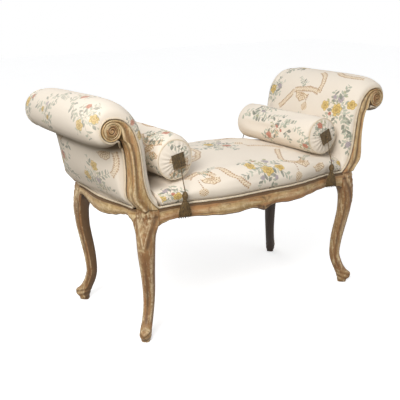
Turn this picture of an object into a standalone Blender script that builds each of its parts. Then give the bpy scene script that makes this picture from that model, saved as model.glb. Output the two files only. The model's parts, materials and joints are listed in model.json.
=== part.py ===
"""Window seat: a bench with two scrolled arms, four cabriole legs and two loose bolsters.

Units are metres. +X is the seat's right, -Y its front, +Z up, and the feet stand at Z = 0.
The seat is the same at its left and right and at its front and back, so most pieces are
made by functions that take a side (-1 left, +1 right) and an end (-1 front, +1 back).
"""
import math

import bmesh
import bpy
from mathutils import Matrix, Vector

OBJECT_NAME = "window_seat"

# Clearances
GAP = 0.0003            # between pieces that touch
CREASE = 0.0008         # between two stuffed pieces
OVERRUN = 0.004         # how far a joined or cutting solid runs into its neighbour

# Frame
RAIL_TOP = 0.420        # top of the seat rails above the floor
FOOT_X = 0.425          # middle of a foot from the middle of the seat
FOOT_Y = 0.204
LEG_THICK = 0.050       # cabriole leg at its knee
BLOCK_IN = 0.042        # square head of a leg, inward from the foot's middle
BLOCK_OUT = 0.0165      # and outward
BLOCK_HEIGHT = 0.042
RAIL_OUT_Y = 0.018      # front rail's face at the legs, outward from the foot's middle
RAIL_BOW_Y = 0.038      # how far its middle stands forward of that
RAIL_OUT_X = 0.025      # end rail's face at the legs, outward from the foot's middle
RAIL_BOW_X = 0.0145
RAIL_BACK = 0.032       # thickness of a rail where it meets the legs
RAIL_DEPTH = 0.046      # height of a rail, the measure of its shaped lower edge
TENON_LONG = 0.020
TENON_THICK = 0.013
TENON_HIGH = 0.018
TENON_DROP = 0.016      # from the rail's top down to its tenon
TENON_SET = 0.009       # from the rail's back face to its tenon

# Arms
POST_IN = 0.044         # foot of an arm post, inward from the foot's middle
POST_PROUD = 0.001      # post's face in front of the rail's face
POST_DEPTH = 0.040      # front to back
ARM_SPREAD_X = 0.151    # from the post's foot out to the middle of its scroll
ARM_RISE = 0.252        # from the rails' top up to the middle of its scroll
SCROLL_R = 0.031
POST_EDGE = 0.0018      # softened edge
POST_PEG = 0.012        # peg under a post, width and length
TOP_BAR_R = 0.029       # bar between the scrolls
STRETCHER_PEG_R = 0.010
STRETCHER_PEG = 0.014
LOW_BAR_Z = 0.034       # bottom of the low arm bar above the rails' top
LOW_BAR_HIGH = 0.028
LOW_BAR_INNER = 0.0072  # its face behind the post's inner edge
LOW_BAR_OUTER = 0.007   # its other face from the outside panel

# Stuffing and its cloth
WEB_THICK = 0.0018
WEB_WIDE = 0.055        # strap
WEB_GAP = 0.050         # space between two straps
WEB_SEAT = 0.013        # from a rail's face in to the end of a strap
HESSIAN_THICK = 0.0008
PIPE_R = 0.0034         # piping along the edges of the cover
PAD_THICK = 0.041       # arm padding where it is fullest
PAD_SET = 0.0095        # arm padding's end behind the face of the post
PAD_END = 0.0055        # arm padding where it ends at the piping
ROLL_SWELL = 0.0155     # swell of the roll's back end beyond the piping
PANEL_BULGE = 0.036     # outside panel's swell beyond the post's outer edge
PANEL_EDGE = 0.002      # outside panel's border beyond the post's outer edge
PANEL_SUNK = 0.008      # outside panel's back behind the post's outer edge
PANEL_DROP = 0.061      # its top below the middle of the scroll
SEAT_CROWN = 0.0965     # seat at its middle, above the hessian
SEAT_END = 0.0545       # seat at the arms, above the hessian
SEAT_INSET = 0.0030     # seat's side behind the rail's face
SEAT_SHOULDER = 0.0125  # where the seat's side swells out over the piping

# Bolsters and tassels
BOLSTER_IN = 0.078      # bolster's middle, inward from the post's foot
BOLSTER_R = 0.063
BOLSTER_HALF = 0.188    # half of its straight length
BOLSTER_DOME = 0.0175   # swell of its end beyond the piping
RING_R = 0.0036         # piping round its end
BRAID_SIDE = 0.044
BRAID_THICK = 0.0025
BRAID_TURN_shares = {-1: 11 / 90, 1: 22 / 90}   # of a quarter turn
KNOT_R = 0.0036
CORD_R = 0.0015
TASSEL_DROP = 0.087     # from the knot down to the tassel's head
TASSEL_LEAN = 0.028     # how far the seat's edge holds it forward
HEAD_R = 0.0090
HEAD_HIGH = 0.031
SKIRT_HIGH = 0.050
SKIRT_WIDE = 0.024      # half-width at the hem
SKIRT_THIN = 0.0105     # half-thickness at the hem

# How finely the curves are followed
SPLINE_STEPS = 12
POST_EDGE_POINTS = 12
SCROLL_POINTS = 12
LEG_RING_POINTS = 14
TURN_STEPS = 20
PIPE_SIDES = 1

# Plan of the front rail's face: place along its half length, share of the bow
FRONT_PLAN_shares = [(0.0, 0.93), (0.13, 0.97), (0.27, 1.0), (0.42, 0.88), (0.56, 0.59),
                     (0.70, 0.27), (0.84, 0.06), (1.0, 0.0)]
# Lower edge of the front rail: place along its half length, share of the rail's height
FRONT_APRON_shares = [(0.0, 1.29), (0.035, 1.17), (0.075, 1.03), (0.125, 0.95), (0.18, 0.97),
                      (0.27, 1.04), (0.39, 1.035), (0.53, 0.945), (0.66, 0.86), (0.80, 0.81),
                      (0.88, 0.84), (0.95, 0.98), (1.0, 1.15)]
END_APRON_shares = [(0.0, 0.90), (0.22, 0.84), (0.45, 0.70), (0.70, 0.56), (0.90, 0.50),
                    (1.0, 0.53)]
# Moulding of a rail: share of its height below the top, share of its back inward
RAIL_MOULD_shares = [(0.0, 0.14), (0.09, 0.02), (0.25, 0.0), (0.40, 0.09), (0.66, 0.11),
                     (0.84, 0.0), (0.95, 0.05), (1.0, 0.24)]
# Cabriole leg, floor to head: share of the leg's height, then its inner edge, its outer
# edge and its half-width as shares of the knee, and how square its section is
LEG_shares = [
    (0.000, -0.32, 0.23, 0.25, 2.8), (0.026, -0.35, 0.24, 0.28, 2.6),
    (0.034, -0.37, 0.43, 0.32, 2.4), (0.050, -0.41, 0.54, 0.34, 2.3),
    (0.069, -0.46, 0.56, 0.34, 2.2), (0.086, -0.52, 0.50, 0.34, 2.1),
    (0.105, -0.58, 0.29, 0.336, 1.9), (0.145, -0.74, 0.06, 0.336, 1.8),
    (0.205, -0.91, -0.15, 0.336, 1.8), (0.265, -0.98, -0.25, 0.345, 1.8),
    (0.374, -0.94, -0.14, 0.386, 1.7), (0.467, -0.84, 0.02, 0.42, 1.7),
    (0.560, -0.70, 0.19, 0.47, 1.65), (0.655, -0.58, 0.35, 0.53, 1.6),
    (0.774, -0.57, 0.44, 0.60, 1.5), (0.825, -0.65, 0.44, 0.65, 1.45),
    (0.880, -0.83, 0.42, 0.87, 1.2), (0.925, -0.98, 0.37, 0.84, 1.05),
    (1.000, -1.06, 0.28, 0.77, 1.0)]
# Arm post's two edges, foot to scroll: shares of the arm's flare and of its rise
POST_INNER_shares = [(0.0, 0.0), (0.113, 0.063), (0.199, 0.133), (0.265, 0.216),
                     (0.335, 0.37), (0.372, 0.54), (0.404, 0.70), (0.455, 0.83),
                     (0.545, 0.963), (0.68, 1.060), (0.80, 1.104), (0.925, 1.121)]
POST_OUTER_shares = [(0.351, 0.0), (0.46, 0.079), (0.55, 0.143), (0.582, 0.23),
                     (0.572, 0.36), (0.570, 0.50), (0.590, 0.63), (0.625, 0.75),
                     (0.682, 0.841), (0.760, 0.882)]
SCROLL_START_DEG = 90
SCROLL_END_DEG = -120
# Arm padding from the seat round the roll: share along its path, share of its fullness
PAD_shares = [(0.0, 0.73), (0.10, 0.86), (0.22, 1.0), (0.36, 0.92), (0.50, 0.80),
              (0.64, 0.86), (0.78, 0.92), (0.90, 0.80), (1.0, 0.66)]
ROLL_START_share = 0.30     # where the padding becomes the roll
# Back end of the padding: share of its swell, then of its inner and outer fullness
ROLL_END_shares = [(0.0, 0.32, 0.92), (0.6, 0.36, 0.86), (1.0, 0.50, 0.70)]
# Stations from one end of a stuffed piece to the other
PAD_STATION_shares = [-1.0, -0.975, -0.90, -0.70, 0.70, 0.90, 0.975, 1.0]
PANEL_STATION_shares = [-1.0, -0.97, -0.88, -0.70, -0.40, 0.0, 0.40, 0.70, 0.88, 0.97, 1.0]
# Outside panel's swell: share of its height, share of the swell
PANEL_shares = [(0.09, 0.26), (0.20, 0.36), (0.33, 0.53), (0.47, 0.74), (0.62, 0.92),
                (0.80, 1.0), (1.0, 0.98)]
# Seat's stations from its left end to its right end
SEAT_STATION_shares = [-1.0, -0.96, -0.86, -0.73, -0.57, -0.38, -0.19, 0.0,
                       0.19, 0.38, 0.57, 0.73, 0.86, 0.96, 1.0]
SEAT_END_ROW_shares = [0.33, 0.66]      # rows on the seat's end, shares of its height
SEAT_TURNS_shares = [0.18, 0.38, 0.58, 0.79]   # of a quarter turn over its shoulder

SIDES = {"left": -1, "right": 1}
ENDS = {"front": -1, "back": 1}


def clear_scene():
    for old in list(bpy.data.objects):
        bpy.data.objects.remove(old, do_unlink=True)


def new_collection(name):
    group = bpy.data.collections.new(name)
    bpy.context.scene.collection.children.link(group)
    return group


def principled(name, colour, roughness, metallic=0.0):
    made = bpy.data.materials.new(name)
    made.use_nodes = True
    shader = made.node_tree.nodes["Principled BSDF"]
    shader.inputs["Base Color"].default_value = (*colour, 1.0)
    shader.inputs["Roughness"].default_value = roughness
    shader.inputs["Metallic"].default_value = metallic
    made.diffuse_color = (*colour, 1.0)
    return made


clear_scene()
PARTS = new_collection(OBJECT_NAME)
CUTTERS = new_collection("cutters")

PAINTED_WOOD = principled("painted_wood", (0.52, 0.40, 0.24), 0.5)
PLAIN_WOOD = principled("plain_wood", (0.42, 0.28, 0.15), 0.7)
COVER = principled("printed_cotton", (0.80, 0.74, 0.65), 0.85)
PIPING = principled("cotton_piping", (0.83, 0.78, 0.69), 0.85)
JUTE = principled("jute_webbing", (0.40, 0.30, 0.17), 0.9)
BRAID = principled("woven_braid", (0.12, 0.09, 0.05), 0.7)
THREAD = principled("bronze_thread", (0.15, 0.11, 0.06), 0.6)


# Curves and tables

def smooth_line(points, count):
    """Count points, evenly spaced, on a smooth curve through the given ones."""
    first = points[0] * 2 - points[1]
    last = points[-1] * 2 - points[-2]
    knots = [first, *points, last]
    fine = []
    for i in range(1, len(knots) - 2):
        a, b, c, d = knots[i - 1:i + 3]
        for step in range(SPLINE_STEPS):
            t = step / SPLINE_STEPS
            fine.append((b * 2 + (c - a) * t + (a * 2 - b * 5 + c * 4 - d) * t ** 2
                         + (b * 3 - a - c * 3 + d) * t ** 3) / 2)
    fine.append(points[-1].copy())
    return evenly(fine, count)


def evenly(line, count):
    """Count points at equal steps along a line of many points."""
    reach = [0.0]
    for a, b in zip(line, line[1:]):
        reach.append(reach[-1] + (b - a).length)
    made = []
    for i in range(count):
        goal = reach[-1] * i / (count - 1)
        k = 0
        while k < len(line) - 2 and reach[k + 1] < goal:
            k += 1
        step = reach[k + 1] - reach[k]
        part = (goal - reach[k]) / step if step else 0.0
        made.append(line[k].lerp(line[k + 1], min(max(part, 0.0), 1.0)))
    return made


def read_table(table, place):
    """Value at a place in a table of pairs, eased between its rows."""
    if place <= table[0][0]:
        return table[0][1]
    for (a, low), (b, high) in zip(table, table[1:]):
        if place <= b:
            t = (place - a) / (b - a)
            return low + (high - low) * t * t * (3 - 2 * t)
    return table[-1][1]


def swell(share, power=8):
    """Fullness of a stuffed piece at a share of its half length: square with round ends."""
    return max(0.0, 1 - abs(share) ** power) ** (1 / power)


# Solids

def finish_mesh(name, mesh, material, group=None):
    solid = bpy.data.objects.new(name, mesh)
    mesh.materials.clear()
    mesh.materials.append(material)
    (group or PARTS).objects.link(solid)
    return solid


def closed_mesh(name, verts, faces):
    mesh = bpy.data.meshes.new(name)
    mesh.from_pydata(verts, [], faces)
    work = bmesh.new()
    work.from_mesh(mesh)
    bmesh.ops.recalc_face_normals(work, faces=work.faces)
    work.to_mesh(mesh)
    work.free()
    return mesh


def soften(mesh, angle_deg=35):
    mesh.shade_smooth()
    mesh.set_sharp_from_angle(angle=math.radians(angle_deg))


def loft(name, rings, material, group=None):
    """A closed solid through rings that have the same number of points."""
    count = len(rings[0])
    verts = [point for ring in rings for point in ring]
    faces = [tuple(range(count)), tuple(range(len(verts) - count, len(verts)))]
    for r in range(len(rings) - 1):
        for i in range(count):
            j = (i + 1) % count
            low, high = r * count, (r + 1) * count
            faces.append((low + i, low + j, high + j, high + i))
    mesh = closed_mesh(name, verts, faces)
    soften(mesh)
    return finish_mesh(name, mesh, material, group)


def pillow(name, sections, end_rows, material):
    """A closed solid through sections that are pairs of rows, a top one and a bottom one.

    The two ends of the solid pass through rows of their own between top and bottom.
    """
    count = len(sections[0][0])
    verts = []
    for top, bottom in sections:
        verts += top + bottom
    faces = []
    for s in range(len(sections) - 1):
        a, b = s * 2 * count, (s + 1) * 2 * count
        for i in range(count - 1):
            faces.append((a + i, a + i + 1, b + i + 1, b + i))
            faces.append((a + count + i, b + count + i, b + count + i + 1, a + count + i + 1))
    starts = (0, (len(sections) - 1) * 2 * count)
    edges = {first: [] for first in (0, count - 1)}
    for start, rows in zip(starts, end_rows):
        line = [list(range(start, start + count))]
        for row in rows:
            line.append(list(range(len(verts), len(verts) + count)))
            verts += row
        line.append(list(range(start + count, start + 2 * count)))
        for upper, lower in zip(line, line[1:]):
            for i in range(count - 1):
                faces.append((upper[i], upper[i + 1], lower[i + 1], lower[i]))
        for first in edges:
            edges[first].append([row[first] for row in line])
    for first, (start_edge, stop_edge) in edges.items():
        for s in range(len(sections) - 1):
            a = s * 2 * count + first
            b = a + 2 * count
            side = [a, b, b + count, a + count]
            if s == 0:
                side = start_edge[1:-1][::-1] + side
            if s == len(sections) - 2:
                side = side[:-2] + stop_edge[1:-1] + side[-2:]
            faces.append(side)
    mesh = closed_mesh(name, verts, faces)
    soften(mesh, 50)
    return finish_mesh(name, mesh, material)


def plate(name, outline, thickness, material, group=None):
    """A flat outline given thickness, along the outline's normal, by Solidify."""
    mesh = bpy.data.meshes.new(name)
    mesh.from_pydata(outline, [], [list(range(len(outline)))])
    solid = finish_mesh(name, mesh, material, group)
    shell = solid.modifiers.new("thickness", "SOLIDIFY")
    shell.thickness = thickness
    shell.offset = 1.0
    return solid


def facing(outline, way):
    """The outline, turned round where its normal does not point the given way."""
    area = Vector()
    for a, b in zip(outline, outline[1:] + outline[:1]):
        area += a.cross(b)
    return outline if area.dot(Vector(way)) > 0 else outline[::-1]


def box(name, low, high, material, group=None):
    """A box between two corners."""
    low, high = Vector(low), Vector(high)
    size = high - low
    work = bmesh.new()
    bmesh.ops.create_cube(work, size=1.0, matrix=Matrix.Diagonal((*size, 1.0)))
    mesh = bpy.data.meshes.new(name)
    work.to_mesh(mesh)
    work.free()
    solid = finish_mesh(name, mesh, material, group)
    solid.location = (low + high) / 2
    return solid


def tube(name, points, radius, material, sides=PIPE_SIDES, ring=False):
    """A round tube along a line of points, with closed ends or closed into a ring."""
    curve = bpy.data.curves.new(name, "CURVE")
    curve.dimensions = "3D"
    curve.bevel_depth = radius
    curve.bevel_resolution = sides
    curve.use_fill_caps = not ring
    spline = curve.splines.new("POLY")
    spline.points.add(len(points) - 1)
    for knot, point in zip(spline.points, points):
        knot.co = (*point, 1.0)
    spline.use_cyclic_u = ring
    spline.use_smooth = True
    made = bpy.data.objects.new(name, curve)
    curve.materials.append(material)
    PARTS.objects.link(made)
    return made


def turned(name, profile, material, steps, axis_y=False):
    """A turned solid: a profile of (radius, height) pairs, top to bottom, and a screw."""
    mesh = bpy.data.meshes.new(name)
    verts = [(radius, 0.0, height) for radius, height in profile]
    mesh.from_pydata(verts, [(i, i + 1) for i in range(len(verts) - 1)], [])
    solid = finish_mesh(name, mesh, material)
    screw = solid.modifiers.new("turn", "SCREW")
    screw.axis = "Z"
    screw.angle = math.tau
    screw.steps = steps
    screw.render_steps = steps
    screw.use_merge_vertices = True
    screw.merge_threshold = GAP / 30
    screw.use_normal_calculate = True
    screw.use_smooth_shade = True
    if axis_y:
        solid.rotation_euler = (math.pi / 2, 0.0, 0.0)
    return solid


def ball(name, radius, centre, material):
    work = bmesh.new()
    bmesh.ops.create_uvsphere(work, u_segments=8, v_segments=6, radius=radius)
    mesh = bpy.data.meshes.new(name)
    work.to_mesh(mesh)
    work.free()
    mesh.shade_smooth()
    solid = finish_mesh(name, mesh, material)
    solid.location = centre
    return solid


def as_tool(solid):
    """A solid that only cuts or joins another is hidden and drawn as wire."""
    solid.hide_render = True
    solid.display_type = "WIRE"
    return solid


def combine(solid, tool, operation):
    change = solid.modifiers.new(operation.lower(), "BOOLEAN")
    change.operation = operation
    change.solver = "EXACT"
    change.object = as_tool(tool)


def bevel_edges(solid, width, angle_deg=50):
    edge = solid.modifiers.new("edge", "BEVEL")
    edge.width = width
    edge.segments = 1
    edge.limit_method = "ANGLE"
    edge.angle_limit = math.radians(angle_deg)


# Places that several pieces share

BLOCK_IN_X = FOOT_X - BLOCK_IN
BLOCK_IN_Y = FOOT_Y - BLOCK_IN
POST_FOOT_X = FOOT_X - POST_IN
RAIL_FACE_X = FOOT_X + RAIL_OUT_X
RAIL_FACE_Y = FOOT_Y + RAIL_OUT_Y
POST_FACE = RAIL_FACE_Y + POST_PROUD
POST_BACK = POST_FACE - POST_DEPTH
SCROLL_X = POST_FOOT_X + ARM_SPREAD_X
SCROLL_Z = RAIL_TOP + ARM_RISE
RAIL_BACK_Y = RAIL_FACE_Y - RAIL_BACK
RAIL_BACK_X = RAIL_FACE_X - RAIL_BACK
WEB_Z = RAIL_TOP + GAP
HESSIAN_Z = WEB_Z + WEB_THICK + GAP
STUFF_Z = HESSIAN_Z + HESSIAN_THICK + GAP
PAD_HALF = POST_FACE - PAD_SET
PANEL_HALF = POST_BACK - GAP * 2 - PIPE_R * 2 - CREASE
PIPE_Z = RAIL_TOP + GAP + PIPE_R
TENON_TOP = RAIL_TOP - TENON_DROP
PANEL_TOP = SCROLL_Z - PANEL_DROP


def on_arm(shares):
    """Points of a post's outline in the XZ plane of the right arm."""
    return [Vector((POST_FOOT_X + x * ARM_SPREAD_X, RAIL_TOP + GAP + z * ARM_RISE))
            for x, z in shares]


def scroll_point(angle_deg, radius):
    turn = math.radians(angle_deg)
    return Vector((SCROLL_X + radius * math.cos(turn), SCROLL_Z + radius * math.sin(turn)))


def scroll_arc(start_deg, end_deg, radius, count):
    step = (end_deg - start_deg) / (count - 1)
    return [scroll_point(start_deg + step * i, radius) for i in range(count)]


INNER_LINE = smooth_line(on_arm(POST_INNER_shares), POST_EDGE_POINTS)
OUTER_LINE = smooth_line(on_arm(POST_OUTER_shares), POST_EDGE_POINTS)


def edge_at(line, height):
    """Where a post's edge line passes a height on its way up from its foot."""
    if height <= line[0].y:
        return line[0].x
    for a, b in zip(line, line[1:]):
        if a.y <= height <= b.y:
            return a.x + (b.x - a.x) * (height - a.y) / (b.y - a.y)
    return line[-1].x


def shifted(line, distance):
    """A line moved sideways, to its left as it runs."""
    made = []
    for i, point in enumerate(line):
        ahead = line[min(i + 1, len(line) - 1)] - line[max(i - 1, 0)]
        left = Vector((-ahead.y, ahead.x)).normalized()
        made.append(point + left * (distance[i] if isinstance(distance, list) else distance))
    return made


def front_face(along):
    """Distance of the front rail's face from the middle plane, at a place along it."""
    return RAIL_FACE_Y + RAIL_BOW_Y * read_table(FRONT_PLAN_shares, abs(along) / BLOCK_IN_X)


def end_face(along):
    bow = math.cos(math.pi / 2 * min(1.0, abs(along) / BLOCK_IN_Y)) ** 2
    return RAIL_FACE_X + RAIL_BOW_X * bow


# Frame

def make_leg(side, end):
    """A cabriole leg that faces out along the corner's diagonal, and its square head."""
    out = Vector((side, end, 0)).normalized()
    across = Vector((-out.y, out.x, 0))
    foot = Vector((side * FOOT_X, end * FOOT_Y, 0))
    rings = []
    for height, inner, outer, half, square in LEG_shares:
        middle = (inner + outer) / 2 * LEG_THICK
        reach = (outer - inner) / 2 * LEG_THICK
        ring = []
        for i in range(LEG_RING_POINTS):
            turn = math.tau * i / LEG_RING_POINTS
            c, s = math.cos(turn), math.sin(turn)
            u = middle + reach * math.copysign(abs(c) ** (2 / square), c)
            v = half * LEG_THICK * math.copysign(abs(s) ** (2 / square), s)
            ring.append(foot + out * u + across * v + Vector((0, 0, height * RAIL_TOP)))
        rings.append(ring)
    return rings


def corner_box(name, side, end, low, high, material, group=None):
    """A box given in the right back corner, placed in the corner that is asked for."""
    xs = sorted((side * low[0], side * high[0]))
    ys = sorted((end * low[1], end * high[1]))
    return box(name, (xs[0], ys[0], low[2]), (xs[1], ys[1], high[2]), material, group)


def leg_with_joints(name, side, end):
    leg = loft(name, make_leg(side, end), PAINTED_WOOD)
    head = corner_box(name + "_head", side, end,
                      (BLOCK_IN_X, BLOCK_IN_Y, RAIL_TOP - BLOCK_HEIGHT),
                      (FOOT_X + BLOCK_OUT, FOOT_Y + BLOCK_OUT, RAIL_TOP), PAINTED_WOOD, CUTTERS)
    combine(leg, head, "UNION")
    mortises = [
        ((BLOCK_IN_X - OVERRUN, RAIL_BACK_Y + TENON_SET, TENON_TOP - TENON_HIGH),
         (BLOCK_IN_X + TENON_LONG, RAIL_BACK_Y + TENON_SET + TENON_THICK, TENON_TOP)),
        ((RAIL_BACK_X + TENON_SET, BLOCK_IN_Y - OVERRUN, TENON_TOP - TENON_HIGH),
         (RAIL_BACK_X + TENON_SET + TENON_THICK, BLOCK_IN_Y + TENON_LONG, TENON_TOP)),
        ((PEG_X - POST_PEG / 2, PEG_Y - POST_PEG / 2, RAIL_TOP - POST_PEG),
         (PEG_X + POST_PEG / 2, PEG_Y + POST_PEG / 2, RAIL_TOP + OVERRUN))]
    for i, (low, high) in enumerate(mortises):
        low = [value - GAP for value in low]
        high = [value + GAP for value in high]
        hole = corner_box(f"{name}_mortise_{i}", side, end, low, high, PAINTED_WOOD, CUTTERS)
        combine(leg, hole, "DIFFERENCE")
    return leg


PEG_X = FOOT_X - BLOCK_IN + TENON_LONG + POST_PEG
PEG_Y = FOOT_Y + BLOCK_OUT - POST_PEG


def make_post(name, side, end):
    """An arm post: its flat outline with the scroll, as thick as the post is deep."""
    scroll = scroll_arc(SCROLL_START_DEG, SCROLL_END_DEG, SCROLL_R, SCROLL_POINTS)
    outline = INNER_LINE + scroll + OUTER_LINE[::-1]
    face = facing([Vector((side * p.x, end * POST_BACK, p.y)) for p in outline], (0, end, 0))
    post = plate(name, face, POST_DEPTH, PAINTED_WOOD)
    bevel_edges(post, POST_EDGE)
    peg = corner_box(name + "_peg", side, end,
                     (PEG_X - POST_PEG / 2, PEG_Y - POST_PEG / 2, RAIL_TOP - POST_PEG + GAP),
                     (PEG_X + POST_PEG / 2, PEG_Y + POST_PEG / 2, RAIL_TOP + OVERRUN),
                     PAINTED_WOOD, CUTTERS)
    combine(post, peg, "UNION")
    bore = round_bar(name + "_bore", side, STRETCHER_PEG_R + GAP,
                     end * (POST_BACK - OVERRUN), end * (POST_BACK + STRETCHER_PEG + GAP))
    combine(post, bore, "DIFFERENCE")
    bar = low_bar_shape(name + "_socket", side, end * (POST_BACK - OVERRUN),
                        end * (POST_BACK + STRETCHER_PEG + GAP), GAP, CUTTERS)
    combine(post, bar, "DIFFERENCE")
    return post


def round_bar(name, side, radius, start_y, stop_y, group=None, sides=24):
    """A round bar front to back through the middle of an arm's scroll."""
    work = bmesh.new()
    bmesh.ops.create_cone(work, cap_ends=True, segments=sides, radius1=radius, radius2=radius,
                          depth=abs(stop_y - start_y))
    mesh = bpy.data.meshes.new(name)
    work.to_mesh(mesh)
    work.free()
    soften(mesh)
    bar = finish_mesh(name, mesh, PLAIN_WOOD, group or CUTTERS)
    bar.rotation_euler = (math.pi / 2, 0.0, 0.0)
    bar.location = (side * SCROLL_X, (start_y + stop_y) / 2, SCROLL_Z)
    return bar


def make_top_bar(name, side):
    """The round bar between two scrolls, which the arm's roll is stuffed over."""
    length = POST_BACK - GAP
    bar = round_bar(name, side, TOP_BAR_R, -length, length, PARTS)
    peg = round_bar(name + "_pegs", side, STRETCHER_PEG_R, -POST_BACK - STRETCHER_PEG,
                    POST_BACK + STRETCHER_PEG, CUTTERS, 12)
    combine(bar, peg, "UNION")
    return bar


def low_bar_shape(name, side, start_y, stop_y, ease, group=None):
    """The low bar between two posts: its two faces follow the posts' edges."""
    low = RAIL_TOP + LOW_BAR_Z
    high = low + LOW_BAR_HIGH
    inner = [edge_at(INNER_LINE, z) + LOW_BAR_INNER - ease for z in (low, high)]
    outer = [edge_at(OUTER_LINE, z) - PANEL_SUNK - LOW_BAR_OUTER + ease for z in (low, high)]
    section = [(inner[0], low - ease), (outer[0], low - ease),
               (outer[1], high + ease), (inner[1], high + ease)]
    face = facing([Vector((side * x, start_y, z)) for x, z in section], (0, stop_y - start_y, 0))
    return plate(name, face, abs(stop_y - start_y), PLAIN_WOOD, group)


def make_low_bar(name, side):
    reach = POST_BACK + STRETCHER_PEG
    return low_bar_shape(name, side, -reach, reach, 0.0)


def make_rail(name, half, face_of, back, apron, place, stations):
    """A seat rail: a moulded section carried along its curved face and shaped lower edge."""
    reach = half - GAP
    rings = []
    for i in range(stations + 1):
        along = reach * math.sin(math.pi / 2 * (2 * i / stations - 1))
        face = face_of(along)
        depth = RAIL_DEPTH * read_table(apron, abs(along) / half)
        ring = [place(along, face - inward * RAIL_BACK, RAIL_TOP - down * depth)
                for down, inward in RAIL_MOULD_shares]
        ring += [place(along, back, RAIL_TOP - depth), place(along, back, RAIL_TOP)]
        rings.append(ring)
    rail = loft(name, rings, PAINTED_WOOD)
    for tag, sign in (("a", -1), ("b", 1)):
        corners = [place(sign * (half - OVERRUN), back + TENON_SET, TENON_TOP - TENON_HIGH),
                   place(sign * (half + TENON_LONG), back + TENON_SET + TENON_THICK, TENON_TOP)]
        low = [min(a, b) for a, b in zip(*corners)]
        high = [max(a, b) for a, b in zip(*corners)]
        combine(rail, box(f"{name}_tenon_{tag}", low, high, PAINTED_WOOD, CUTTERS), "UNION")
    return rail


def make_corner_block(name, side, end):
    """A glue block round the inner corner of a leg's head, screwed to both rails."""
    arm = BLOCK_IN * 1.2
    outline = [(BLOCK_IN_X - GAP - arm, RAIL_BACK_Y - GAP), (BLOCK_IN_X - GAP, RAIL_BACK_Y - GAP),
               (BLOCK_IN_X - GAP, BLOCK_IN_Y - GAP), (RAIL_BACK_X - GAP, BLOCK_IN_Y - GAP),
               (RAIL_BACK_X - GAP, BLOCK_IN_Y - GAP - arm),
               (RAIL_BACK_X - GAP - arm / 3, BLOCK_IN_Y - GAP - arm),
               (BLOCK_IN_X - GAP - arm, RAIL_BACK_Y - GAP - arm / 3)]
    top = RAIL_TOP - TENON_DROP / 2
    face = facing([Vector((side * x, end * y, top - TENON_HIGH)) for x, y in outline], (0, 0, 1))
    return plate(name, face, TENON_HIGH, PLAIN_WOOD)


# Stuffing

def pad_path():
    """The line on the post's inner edge and round its scroll that the padding lies on."""
    rise = [p for p in INNER_LINE if p.y > STUFF_Z]
    start = Vector((edge_at(INNER_LINE, STUFF_Z), STUFF_Z))
    arc = scroll_arc(SCROLL_START_DEG, SCROLL_END_DEG, SCROLL_R, SCROLL_POINTS)
    return shifted([start, *rise, *arc], GAP)


def roll_part(share):
    """How much of the roll a place on the padding's path belongs to, 0 below it."""
    return read_table([(ROLL_START_share, 0.0), (ROLL_START_share * 2, 1.0)], share)


def pad_depth(share):
    return PAD_THICK * read_table(PAD_shares, share)


def path_shares(line):
    reach = [0.0]
    for a, b in zip(line, line[1:]):
        reach.append(reach[-1] + (b - a).length)
    return [value / reach[-1] for value in reach]


PAD_LINE = pad_path()
PAD_LINE_shares = path_shares(PAD_LINE)


def pad_outline(share):
    """The padding's outer line in the XZ plane, at a share of its half length."""
    full = [max(PAD_END, pad_depth(s) * swell(share)) for s in PAD_LINE_shares]
    line = shifted(PAD_LINE, full)
    line[0].y = PAD_LINE[0].y
    return line


def pad_face(height, along):
    """How far from the middle the seat may reach, at a height and a place along the arm."""
    share = min(abs(along) / PAD_HALF, PAD_STATION_shares[-3])
    return edge_at(pad_outline(share), height)


def pad_back_ring(side, swelling, inner, outer):
    """A section past the piping at the back, where the roll's end swells out."""
    lines = []
    for part in (inner, outer):
        line = shifted(PAD_LINE, [part * pad_depth(share) for share in PAD_LINE_shares])
        line[0].y = PAD_LINE[0].y
        lines.append(line)
    ring = []
    for line, shares in zip((lines[0], lines[1][::-1]), (PAD_LINE_shares, PAD_LINE_shares[::-1])):
        for p, share in zip(line, shares):
            y = PAD_HALF + GAP / 2 * (1 + swelling) + ROLL_SWELL * swelling * roll_part(share)
            ring.append(Vector((side * p.x, y, p.y)))
    return ring


def make_arm_pad(name, side):
    """The arm's inside padding and its roll, in one, over both posts and the top bar."""
    rings = []
    for share in PAD_STATION_shares:
        section = PAD_LINE + pad_outline(share)[::-1]
        rings.append([Vector((side * p.x, share * PAD_HALF, p.y)) for p in section])
    full = [pad_depth(s) * ROLL_END_shares[0][2] for s in PAD_LINE_shares]
    section = PAD_LINE + shifted(PAD_LINE, full)[::-1]
    section[-1].y = PAD_LINE[0].y
    rings[-1] = [Vector((side * p.x, PAD_HALF, p.y)) for p in section]
    rings += [pad_back_ring(side, *row) for row in ROLL_END_shares]
    return loft(name, rings, COVER)


def panel_border(height):
    return edge_at(OUTER_LINE, height)


def make_arm_webbing(name, side):
    """The sheet behind the arm's padding, from post to post, up to the top bar."""
    line = [p for p in INNER_LINE if p.y > STUFF_Z + WEB_THICK * 2]
    middle = Vector((SCROLL_X, SCROLL_Z))
    line = [p for p in line if (p - middle).length > SCROLL_R + WEB_THICK * 2]
    reach = POST_BACK - GAP
    section = [Vector((side * p.x, -reach, p.y)) for p in line + shifted(line, -WEB_THICK)[::-1]]
    return plate(name, facing(section, (0, 1, 0)), 2 * reach, JUTE)


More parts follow.
